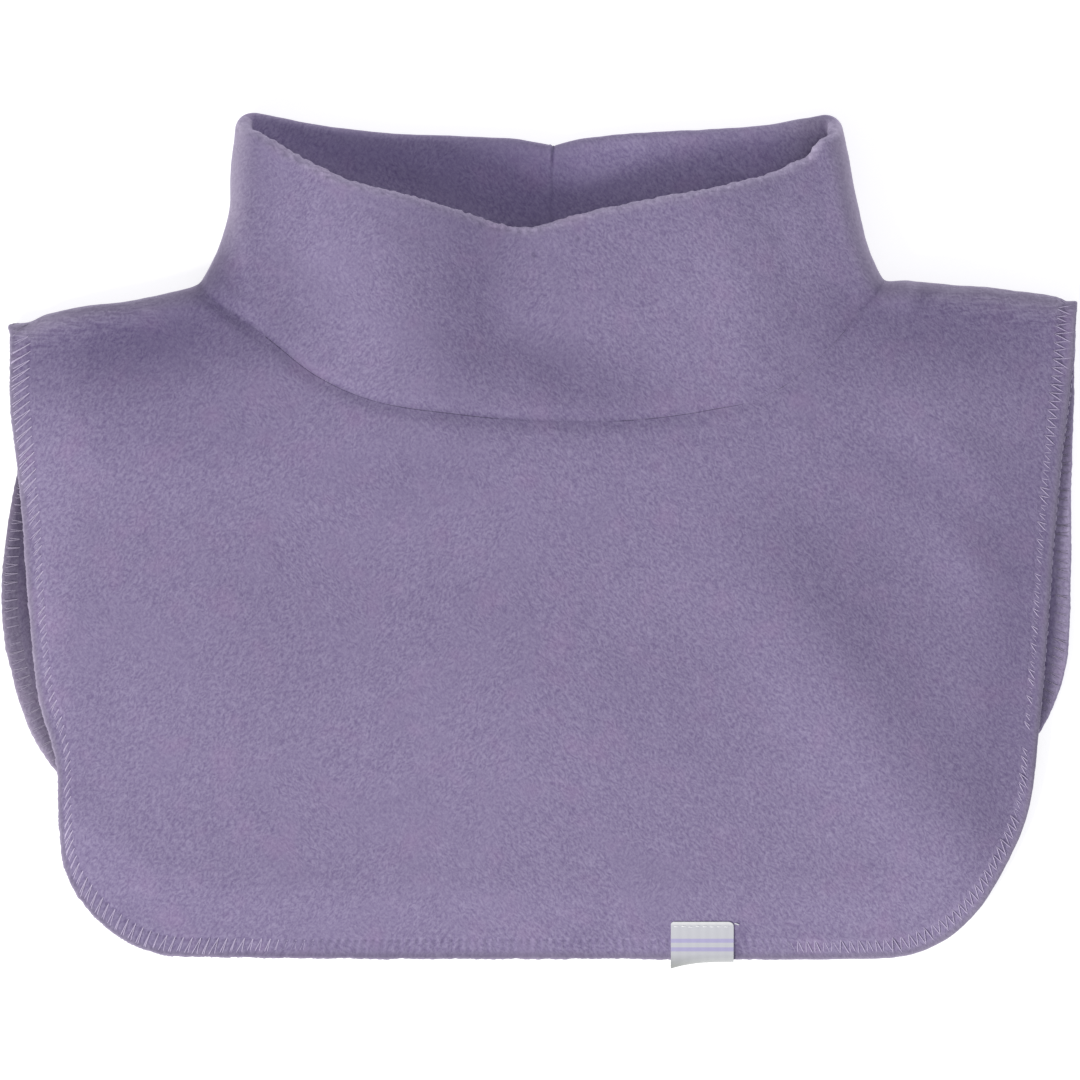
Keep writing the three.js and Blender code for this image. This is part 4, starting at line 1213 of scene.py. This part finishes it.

# %% [markdown]
# ## Painted light and shade, and how the nap lies
# Brushed cloth looks lighter or darker as its nap leans toward the eye or away from it, and every hand
# that strokes it leaves such patches. A short table of patches gives each vertex a tone: mostly painted light
# and shade laid over what the lamp gives the folds, and partly the lie of the nap. Where the cloth turns over
# an edge the nap stands open and a painted sheen makes it paler and greyer; beside the side folds, where the
# cloth turns away from the lamp, painted light makes it paler too.

# %% Patches of painted light and shade, and painted sheen on open edges
# Patches of painted light and shade, partly the lie of the nap, lie as the puffs do, and their rise is one
# of tone: on the collar, at the shoulders, on the chest and along the edge; the last is the painted shadow
# right of the label
PAINTED_SHADING = columns(PUFF, [
    (-20, 80, 30, 9, 88, -0.16), (-97, 82.5, 13, 4.5, 66, -0.22), (-88.5, 82, 15, 2.6, -80, 0.12),
    (6, 50, 32, 11, -12, -0.16), (-62, 82, 34, 16, 95, 0.05), (60, 78, 28, 22, 80, 0.17),
    (76, 94, 28, 9, 98, 0.28), (-118, 60, 42, 14, 8, -0.4), (118, 66, 52, 13, -4, -0.16),
    (-97, 79, 13, 9, -40, -0.15), (-154, 66, 8, 4, 0, 0.22), (-88, 68, 16, 6, 10, 0.1),
    (158, 58, 10, 6, 90, 0.15), (111.5, 75, 4.5, 1.6, -60, 0.15), (114.5, 73.5, 5, 2.2, 70, -0.2),
    (-105, 32, 42, 12, 0, -0.15), (-45, 17, 28, 9, 0, -0.11), (128, 40, 26, 11, -10, 0.17),
    (112, 20, 18, 8, -20, -0.13), (30, -18, 22, 14, 0, 0.1), (110, -22, 42, 15, -52, -0.02),
    (112, -30, 50, 30, -52, 0.06), (0, -70, 130, 40, 0, 0.04), (78, -85, 30, 25, 0, 0.05),
    (60, -100, 70, 24, 0, 0.03), (-110, -105, 50, 22, -10, -0.04), (131, -95, 28, 16, 62, 0.07),
    (140, -40, 60, 10, 84, -0.14), (-150, -20, 80, 9, 86, 0.15), (100, -114, 28, 8, 4, 0.12),
    (14, -121, 6, 4, 0, -0.15), (59.5, -121.5, 6, 2, 90, -0.16),
])
# Painted shade on the back panel left of the front panel, and painted light on the right
BACK_PAINTED_SHADING = columns(PUFF, [
    (-160, 4, 48, 9, 90, -0.44), (160, -30, 60, 9, 90, 0.22), (159, 12, 22, 9, 90, 0.3),
])
BACK_SHADE = {"inner": -0.1, "rim": 0.2, "beside": -0.22, "spread": 2.6}  # painted shadow toward the front panel, and painted light at the back panel's rim
UNDER_FRONT = -1.5  # takes the painted bluish tint of shade away, left of the front panel
# Painted light and shade of the bound edge: at its rim, in its middle and along the needle line
BAND_PAINTED_SHADING = columns("place rim middle needle", [
    (0, -0.12, 0.06, -0.06), (0.05, -0.12, 0.06, -0.06), (0.08, -0.18, 0, -0.08), (0.15, -0.18, 0.02, 0),
    (0.28, -0.22, 0, -0.08), (0.34, -0.26, 0, -0.04), (0.4, -0.36, 0.08, 0.04), (0.46, -0.33, 0.12, 0.08),
    (0.52, -0.25, 0.2, 0.12), (0.62, -0.25, 0.18, 0.14), (0.7, -0.15, 0.18, 0.14), (0.76, 0.05, 0.2, 0.15),
    (0.79, -0.2, -0.04, 0.05), (0.82, -0.15, 0, 0.1), (0.9, -0.12, -0.08, 0.06), (1, -0.15, -0.1, 0.06),
    (1.1, 0, 0, 0),
])
BAND_ZONES = {"rim": (BAND, 1.0), "middle": (3.1, 1.5), "needle": (NEEDLE_AT, 0.8)}  # distance, half-width
# Inside the collar's back: its painted shade, and the painted light that the front's lip sends back
INNER_PAINTED_SHADING = columns("x tone lift", [
    (-40, -0.05, 0.45), (-18, 0, 0.35), (3, -0.07, 0.25), (18, 0.1, 0.15),
    (30, 0.19, 0.15), (62, 0.28, 0.1), (76, 0.22, 0.1), (84, -0.06, 0.1),
])
LIP_LIGHT = 4.5  # how far over the lip that painted light reaches
RIGHT_END = {"from": 66, "to": 82, "tint": -0.8}  # where the painted bluish shade inside the collar ends
SIDE_PAINT_REACH = 5.0  # how far in from a side fold the nap stands open and is painted paler
WRINKLES_IN = 10.0  # how far in the shoulders' fine wrinkles reach
PAINTED_LIGHT = {"side": 0.4, "fold": 0.6}  # painted light on open nap turned away from the lamp, and painted highlight on the fold's crest
CUT_SHEEN = {"before": 1.6, "into": 0.4}  # from how far before the rounded edge, to how far into it, the nap opens and gets a painted sheen
BACK_LESS_SHEEN, INSIDE_LESS_SHEEN = 0.5, 0.6  # how much less painted sheen there is on the back panel and inside the collar
BACK_BAND_SHEEN = 0.25  # how much painted sheen there is at least along the back panel's edge
NECK_HALF = (105, 120)  # from the middle to where the shoulders' wrinkles start


def patches(table, points):
    """One, and more or less by the patches of painted light and shade that reach a point."""
    return 1 + puff_height(table, points[:, 0], points[:, 1])


def stretch_share(places, stretch):
    """One at the places of one stretch of the ring and zero at the others, as a column."""
    return np.concatenate([(name == stretch) + 0 * values for name, values in places])[:, None]


def nearness(points, line, spread):
    """Seen from above, a bell of the distance from a line given by close points."""
    nearest = np.full(len(points), np.inf)
    for x, y in line:
        nearest = np.minimum(nearest, np.hypot(points[:, 0] - x, points[:, 1] - y))
    return bell(nearest, spread)


def side_fold_nearness(points, spread=SIDE_PAINT_REACH):
    """How near a point lies to the side folds, where the nap stands open: the nearness to their outlines. It places
    the painted sheen, the painted light and the wrinkles.
    """
    tables = (LEFT_SIDE, RIGHT_SIDE)
    lines = [path_point(table, "along", np.linspace(*table["along"][[0, -1]], 80)) for table in tables]
    return nearness(points, np.concatenate(lines), spread)


def turned_away(piece):
    """How far the skin turns to the upper right, away from the lamp: nearly 0 where it is flat, and 1 from
    halfway upright."""
    return smooth_step(vertex_array(piece.data, "normal")[:, :2].sum(axis=1) / np.sqrt(2), -0.1, 0.7)


# %% Tone of the yoke
yoke_points = vertex_array(yoke.data, "place")
back_band = on_skin(yoke_grids, 0, stretch_share(fine_places, "back"))
on_back_panel = on_skin(yoke_grids, stretch_share(places, "back"), stretch_share(fine_places, "back"))
yoke_near_sides = side_fold_nearness(yoke_points)
# Painted light makes the cloth paler beside the side folds, where it turns away from the lamp
yoke_tone = patches(PAINTED_SHADING, yoke_points) + PAINTED_LIGHT["side"] * yoke_near_sides * turned_away(yoke)
# The bound edge gets painted light and shade along its rim, middle and needle line
for zone, (across, half) in BAND_ZONES.items():
    zone_tone = np.interp(edge_place, BAND_PAINTED_SHADING["place"], BAND_PAINTED_SHADING[zone])[:, None]
    yoke_tone += on_skin(yoke_grids, 0, zone_tone * bell(band_across - across, half))
near_rim = on_skin(yoke_grids, 0, smooth_step(outward, *RIM_FROM["shade"]))
on_left = smooth_step(-yoke_points[:, 0], 0, 50)
front_line = path_point(EDGES["front"], "share", np.linspace(0, 1, 300))
# The back panel's strip beside the front's edge is painted darker, as the front panel's shadow, and lighter toward its
# rim
back_tone = patches(BACK_PAINTED_SHADING, yoke_points) + mix(BACK_SHADE["inner"], BACK_SHADE["rim"], near_rim)
back_tone += BACK_SHADE["beside"] * nearness(yoke_points, front_line, BACK_SHADE["spread"]) * on_left
set_attribute(yoke, "tone_and_painted_shade", mix(yoke_tone, back_tone, on_back_panel))

# The cut edge's rounded rim gets a painted sheen, paler and greyer, where its nap stands open
over_rim = [BAND - CUT_SHEEN["before"], BAND + CUT_SHEEN["into"]]
over_rim += [2 * reach - BAND - CUT_SHEEN["into"], 2 * reach - BAND + CUT_SHEEN["before"]]
cut_sheen = on_skin(yoke_grids, 0, np.interp(band_across, over_rim, [0, 1, 1, 0]))
sheen_share = np.maximum(yoke_near_sides, cut_sheen) * (1 - BACK_LESS_SHEEN * on_back_panel)
set_attribute(yoke, "open_nap_painted_sheen", np.maximum(sheen_share, BACK_BAND_SHEEN * back_band))
# The painted bluish shade is taken away on the back panel left of the front panel
set_attribute(yoke, "painted_shade_blue", UNDER_FRONT * on_back_panel * on_left)
beyond_neck = smooth_step(np.abs(yoke_points[:, 0]), *NECK_HALF)
# Fine wrinkles beside the shoulders, whose hollows the relief's colour paints darker, as shade
set_attribute(yoke, "wrinkled", side_fold_nearness(yoke_points, WRINKLES_IN) * beyond_neck)

# %% Tone of the collar
collar_points = vertex_array(collar.data, "place")
inner_columns = np.arange(collar_coarse.shape[1]) < INNER_ROWS
inside_back = over_fold("inside", inner_columns) * (collar_points[:, 2] < BACK_TOP + 1)
# Inside the collar's back the colour is painted darker as shade, and lighter near the front's lip as painted bounced
# light
inside_tone = 1 + np.interp(collar_points[:, 0], INNER_PAINTED_SHADING["x"], INNER_PAINTED_SHADING["tone"])
lift = np.interp(collar_points[:, 0], INNER_PAINTED_SHADING["x"], INNER_PAINTED_SHADING["lift"])
lip_x = mix(side_axis("left", COLLAR_TOP)[0], side_axis("right", COLLAR_TOP)[0], COLLAR_LIP["share"])
over_lip = collar_points[:, 1] - np.interp(collar_points[:, 0], lip_x, COLLAR_LIP["topY"]) - HALF_WALL
inside_tone += lift * bell(np.maximum(over_lip, 0), LIP_LIGHT)
collar_near_edges = side_fold_nearness(collar_points)
# A painted highlight runs along the fold's crest, and painted light makes the sides paler where they turn away from
# the lamp
collar_tone = patches(PAINTED_SHADING, collar_points) + PAINTED_LIGHT["fold"] * over_fold("crest")
collar_tone += PAINTED_LIGHT["side"] * collar_near_edges * turned_away(collar)
set_attribute(collar, "tone_and_painted_shade", mix(collar_tone, inside_tone, inside_back))
# The collar's open edges and its fold get a painted sheen
collar_near_edges = np.maximum(collar_near_edges, over_fold("open"))
set_attribute(collar, "open_nap_painted_sheen", collar_near_edges * (1 - INSIDE_LESS_SHEEN * inside_back))
at_right_end = smooth_step(collar_points[:, 0], RIGHT_END["from"], RIGHT_END["to"])
# Inside the collar's back the colour gets more painted bluish shade, and less at its right end
set_attribute(collar, "painted_shade_blue", inside_back * mix(1, RIGHT_END["tint"], at_right_end))

# %% [markdown]
# ## Materials
# Colours are read off as sRGB hex values and turned to linear light by one function. One small function
# adds a node with its settings and links.

# %% Colours and nodes
def linear(hex_colour):
    """An sRGB hex value as linear red, green, blue and alpha."""
    srgb = np.array([int(hex_colour[k:k + 2], 16) for k in (1, 3, 5)]) / 255
    low, high = srgb / 12.92, ((srgb + 0.055) / 1.055) ** 2.4
    return (*np.where(srgb <= 0.04045, low, high), 1.0)


def add_node(tree, kind, inputs=None, **settings):
    """Adds a node with its settings and gives its outputs. An input is another node's output, which is
    linked, or else a value."""
    node = tree.nodes.new("ShaderNode" + kind)
    for name, value in settings.items():
        setattr(node, name, value)
    for socket, value in (inputs or {}).items():
        if isinstance(value, bpy.types.NodeSocket):
            tree.links.new(value, node.inputs[socket])
        else:
            node.inputs[socket].default_value = value
    return node.outputs


def attribute(tree, name):
    """The number that set_attribute has given to each vertex under this name."""
    return add_node(tree, "Attribute", attribute_name=name)["Fac"]


def calculate(tree, operation, a, b, c=0.5, clamp=False):
    """A sum of numbers. With MULTIPLY_ADD it is a times b plus c."""
    return add_node(tree, "Math", {0: a, 1: b, 2: c}, operation=operation, use_clamp=clamp)[0]


def ranged(tree, value, low, high, to_low=0.0, to_high=1.0, clamp=True):
    """The value moved from the range low to high into another one."""
    inputs = {"Value": value, "From Min": low, "From Max": high, "To Min": to_low, "To Max": to_high}
    return add_node(tree, "MapRange", inputs, clamp=clamp)[0]


def blended(tree, share, a, b):
    """The colour a share of the way from colour a to colour b."""
    return add_node(tree, "Mix", {0: share, 6: a, 7: b}, data_type="RGBA")[2]


def scaled(tree, vector, share):
    """A colour or vector times a number."""
    return add_node(tree, "VectorMath", {0: vector, "Scale": share}, operation="SCALE")[0]


def per_metre(millimetres):
    """Scale of a noise whose cells are this long, on coordinates in metres."""
    return 1 / (millimetres * MM)


def new_material(name, make_inputs):
    """A material of one principled shader. `make_inputs` adds the nodes and gives the shader's inputs."""
    material = bpy.data.materials.new(name)
    material.use_nodes = True
    tree = material.node_tree
    tree.nodes.clear()
    output = tree.nodes.new("ShaderNodeOutputMaterial")
    shader = add_node(tree, "BsdfPrincipled", make_inputs(tree))
    tree.links.new(shader[0], output.inputs["Surface"])
    return material


# %% [markdown]
# ## Polar fleece
# A knitted polyester cloth whose loops are brushed to a short dense nap and sheared. It scatters light
# like velvet: matt from above, with a pale rim where the nap is seen from the side. The fibres lie in
# short curls, about half as long again as wide. On the left half they lie one way and on the right half
# the other, so two stretched noises are blended. Fine wrinkles run along the folds of the shoulders.

# %% Fleece material
# The dark and the light colour follow the relief, so the hollows between curls are painted darker, as shade, over the
# fleece's own mottle; the last colour is the painted sheen of an open nap
FLEECE_DARK, FLEECE_LIGHT, FLEECE_PINK, FLEECE_OPEN_SHEEN = "#706486", "#8f86a2", "#93789d", "#a29ba8"
SHADE_TINT = (0.002, -0.004, 0.045)  # painted bluish tint of shade: what a fully darkened tone adds to red, green and blue
PAINTED_BLUE_BOOST = 0.35  # how much more of that painted bluish shade the inside of the collar gets
CURL = {"long": 1.15, "wide": 0.75, "bend": 0.8, "cell": 3.0, "turn": 52}
DIRECTION = {"cell": 28, "half_body": 120}  # size of the patches of one lie, and where only one is left
WRINKLE = {"long": 7, "wide": 0.8, "deep": 1.15}
BLUSH = {"cell": 11, "from": 0.54, "to": 0.74, "most": 0.2}  # patches where the cloth is pinker
OPEN_SHEEN_SHARE = 0.45  # of the paler colour, a painted sheen, in a fully open nap
PRESSED_SHADE_TONE = 0.62  # tone of the darkest painted shade, in a seam's crease, a groove, a pit or a stitch's dent
# Strength and depth of the bump, and the relief that has the darkest and the lightest colour; the relief's hollows,
# between curls and in wrinkles, are painted darker as shade over the fleece's own mottle
RELIEF = {"strength": 0.5, "deep": 0.4, "dark": 0.3, "light": 0.7}
SHEEN = "#d6d0e2"


def stretched_noise(tree, place, size, turn, detail, roughness=0.5):
    """A noise with cells of this length and width, turned about the vertical."""
    scale = (size["long"] * MM, size["wide"] * MM, size["wide"] * MM)
    laid = {"Vector": place, "Rotation": (0, 0, turn), "Scale": scale}
    laid = add_node(tree, "Mapping", laid, vector_type="TEXTURE")[0]
    noise = {"Vector": laid, "Scale": 1.0, "Detail": detail, "Roughness": roughness}
    return add_node(tree, "TexNoise", noise)["Fac"]


def even_noise(tree, place, cell, detail):
    """A noise with cells of this size in millimetres: its number and its colour."""
    noise = add_node(tree, "TexNoise", {"Vector": place, "Scale": per_metre(cell), "Detail": detail})
    return noise["Fac"], noise["Color"]


def fleece_inputs(tree):
    """Colour and relief of the fleece."""
    place = add_node(tree, "TexCoord")["Object"]
    drift = even_noise(tree, place, CURL["cell"], 1.0)[1]
    bend = (CURL["bend"] * MM * 2,) * 3
    curled = add_node(tree, "VectorMath", {0: drift, 1: bend, 2: place}, operation="MULTIPLY_ADD")[0]
    turn = np.radians(CURL["turn"])
    lies = [stretched_noise(tree, curled, CURL, sense * turn, 3.0, 0.6) for sense in (1, -1)]
    slow = even_noise(tree, place, DIRECTION["cell"], 1.0)[0]
    across = add_node(tree, "SeparateXYZ", {0: place})["X"]
    half_body = DIRECTION["half_body"] * MM
    side = ranged(tree, across, -half_body, half_body, -0.5, 0.5)
    which = ranged(tree, calculate(tree, "MULTIPLY_ADD", slow, 2.0, side, clamp=True), 0.7, 1.0)
    curls = add_node(tree, "Mix", {0: which, 2: lies[0], 3: lies[1]}, data_type="FLOAT")[0]

    wrinkles = stretched_noise(tree, curled, WRINKLE, 0, 1.0)
    wrinkled = calculate(tree, "MULTIPLY", attribute(tree, "wrinkled"), WRINKLE["deep"])
    relief = calculate(tree, "MULTIPLY_ADD", calculate(tree, "SUBTRACT", wrinkles, 0.5), wrinkled, curls)
    # The colour follows the relief, so its hollows are painted darker, as shade
    tone = ranged(tree, relief, RELIEF["dark"], RELIEF["light"], clamp=False)
    colour = blended(tree, tone, linear(FLEECE_DARK), linear(FLEECE_LIGHT))
    cloud = even_noise(tree, place, BLUSH["cell"], 2.0)[0]
    blush = ranged(tree, cloud, BLUSH["from"], BLUSH["to"], to_high=BLUSH["most"])
    colour = blended(tree, blush, colour, linear(FLEECE_PINK))
    # The paler, greyer colour of an open nap is a painted sheen
    sheen_share = calculate(tree, "MULTIPLY", attribute(tree, "open_nap_painted_sheen"), OPEN_SHEEN_SHARE)
    colour = blended(tree, sheen_share, colour, linear(FLEECE_OPEN_SHEEN))

    # Painted shade of creases, grooves, pits and stitch dents darkens the colour
    pressed_and_shaded = ranged(tree, attribute(tree, "pressed_and_shaded"), 0.0, 1.0, 1.0, PRESSED_SHADE_TONE)
    whole_tone = calculate(tree, "MULTIPLY", pressed_and_shaded, attribute(tree, "tone_and_painted_shade"))
    # The darker the tone, the more painted bluish shade is added
    painted_shade_blue = calculate(tree, "MULTIPLY_ADD", attribute(tree, "painted_shade_blue"), PAINTED_BLUE_BOOST, 1.0)
    tint = scaled(tree, SHADE_TINT, calculate(tree, "SUBTRACT", painted_shade_blue, whole_tone))
    shaded = {0: scaled(tree, colour, whole_tone), 1: tint}
    bump = {"Strength": RELIEF["strength"], "Distance": RELIEF["deep"] * MM, "Height": relief}
    return {
        "Normal": add_node(tree, "Bump", bump)[0],
        "Base Color": add_node(tree, "VectorMath", shaded, operation="ADD")[0],
        "Roughness": 1.0, "Specular IOR Level": 0.1,
        "Sheen Weight": 0.5, "Sheen Roughness": 0.4, "Sheen Tint": linear(SHEEN),
    }


fleece = new_material("polar_fleece", fleece_inputs)

# %% [markdown]
# ## Thread and ribbon
# The overlock thread is textured polyester. The ribbon is ribbed satin. Its end is turned in and so
# whiter, it is greyer where it is folded, and two lilac stripes are woven in.

# %% Thread and ribbon materials
THREAD_COLOUR, WHITE_THREAD = "#aea3be", "#e6e6e8"
RIBBON = {"body": "#bdbec3", "turned_in": "#d2d3d4", "folded": "#8f928f", "stripe": "#a9a4c6"}
RIB = 0.45  # the ribs are 2 pi times this far apart
WAVE_TURN = 20  # radians that a wave texture turns in one unit
STRIPES, STRIPE_HALF = (-120.0, -122.6), 0.6
TURNED_IN = 1.2  # length of the whiter end
FOLD_GREY = (2.5, -1.5)  # distances above the fold between which the ribbon turns greyer


def thread_inputs(tree):
    """Thread that takes its tone from the vertices, painted darker as shade on the back panel."""
    colour = scaled(tree, linear(THREAD_COLOUR)[:3], attribute(tree, "tone_and_painted_shade"))
    return {"Base Color": colour, "Roughness": 0.5, "Sheen Weight": 0.2}


def ribbon_inputs(tree):
    """Satin with stripes across the ribbon, at their places on the garment."""
    place = add_node(tree, "TexCoord")["Object"]
    down = add_node(tree, "SeparateXYZ", {0: place})["Y"]
    near = [calculate(tree, "COMPARE", down, (y - MIDDLE[1]) * MM, STRIPE_HALF * MM) for y in STRIPES]
    end, fold = [(LABEL[name] - MIDDLE[1]) * MM for name in ("top", "fold_right")]
    turned_in = ranged(tree, down, end - TURNED_IN * MM, end - 0.5 * TURNED_IN * MM)
    colour = blended(tree, turned_in, linear(RIBBON["body"]), linear(RIBBON["turned_in"]))
    at_fold = ranged(tree, down, *(fold + above * MM for above in FOLD_GREY))
    colour = blended(tree, at_fold, colour, linear(RIBBON["folded"]))
    striped = calculate(tree, "ADD", *near, clamp=True)
    ribs = {"Vector": place, "Scale": per_metre(RIB) / WAVE_TURN}
    ribs = add_node(tree, "TexWave", ribs, bands_direction="X")["Fac"]
    bump = add_node(tree, "Bump", {"Strength": 0.3, "Distance": 0.0001, "Height": ribs})[0]
    return {"Base Color": blended(tree, striped, colour, linear(RIBBON["stripe"])), "Normal": bump,
            "Roughness": 0.5, "Sheen Weight": 0.1}


overlock_look = new_material("polyester_thread", thread_inputs)
white_look = new_material("white_polyester_thread",
                          lambda tree: {"Base Color": linear(WHITE_THREAD), "Roughness": 0.5})
satin = new_material("woven_satin", ribbon_inputs)
for piece, material in ((yoke, fleece), (collar, fleece), (thread, overlock_look), (label, satin),
                        (label_thread, white_look)):
    piece.data.materials.append(material)

# %% [markdown]
# ## Floor and light
# The table is white and lit a little from below, as one for product photographs is, so shadows on it
# stay faint. A pale sky lights the cloth evenly. One soft lamp, low at the lower left, gives the folds
# their light and dark sides and leaves the inside of the collar in the shade.

# %% Floor, sky and lamp
FLOOR = {"half": 3.0, "drop": 0.0003, "grey": "#bcbcbc", "glow": 0.72}
SKY = {"colour": "#f6f6ff", "strength": 0.645}
LAMP = {"place": Vector((-1.0, -1.0, 0.85)), "size": 0.6, "energy": 26.5, "colour": (1.0, 0.99, 0.93)}

floor_mesh = bpy.data.meshes.new("floor")
floor_corners = [(x * FLOOR["half"], y * FLOOR["half"], -FLOOR["drop"])
                 for x, y in ((-1, -1), (1, -1), (1, 1), (-1, 1))]
floor_mesh.from_pydata(floor_corners, [], [(0, 1, 2, 3)])
floor = bpy.data.objects.new("floor", floor_mesh)
bpy.context.scene.collection.objects.link(floor)
floor_mesh.materials.append(new_material("white_acrylic", lambda tree: {
    "Base Color": linear(FLOOR["grey"]), "Roughness": 0.9, "Specular IOR Level": 0.0,
    "Emission Color": linear("#ffffff"), "Emission Strength": FLOOR["glow"],
}))
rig.stage(floor)

world = bpy.data.worlds.new("sky")
world.use_nodes = True
background = world.node_tree.nodes["Background"].inputs
background["Color"].default_value = linear(SKY["colour"])
background["Strength"].default_value = SKY["strength"]
bpy.context.scene.world = world

lamp_data = bpy.data.lights.new("lamp", "AREA")
lamp_data.shape = "DISK"
lamp_data.size = LAMP["size"]
lamp_data.energy = LAMP["energy"]
lamp_data.color = LAMP["colour"]
lamp = bpy.data.objects.new("lamp", lamp_data)
lamp.location = LAMP["place"]
lamp.rotation_mode = "QUATERNION"
lamp.rotation_quaternion = LAMP["place"].to_track_quat("Z", "Y")
bpy.context.scene.collection.objects.link(lamp)
bpy.context.scene.view_settings.view_transform = "Standard"

# %% [markdown]
# ## Hand over
# Every piece rides on the one body. The yoke, the collar and the label stand for their solids, name their finish and
# say what cloth they were cut from, and the threads go with the yoke and the label.

# %% Hand over the pieces
for piece in (yoke, collar, thread, label, label_thread):
    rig.ride(piece, "root")
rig.replaces(yoke, "yoke")
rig.replaces(collar, "collar")
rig.replaces(label, "label")
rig.slot(yoke, "fleece")
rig.slot(collar, "fleece")
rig.slot(label, "label_ribbon")
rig.sheet(yoke, flat=(0.325, 0.366), held="laid", area=0.105, with_pieces=[thread])
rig.sheet(collar, flat=(0.42, 0.112), held="folded", area=0.0456)
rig.sheet(label, flat=(0.0186, 0.029), held="folded", with_pieces=[label_thread])

with open("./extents.json", "w") as file:
    json.dump({"cad": solid_box, "visual": [list(corner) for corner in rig.bounds()]}, file)
print(open("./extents.json").read())
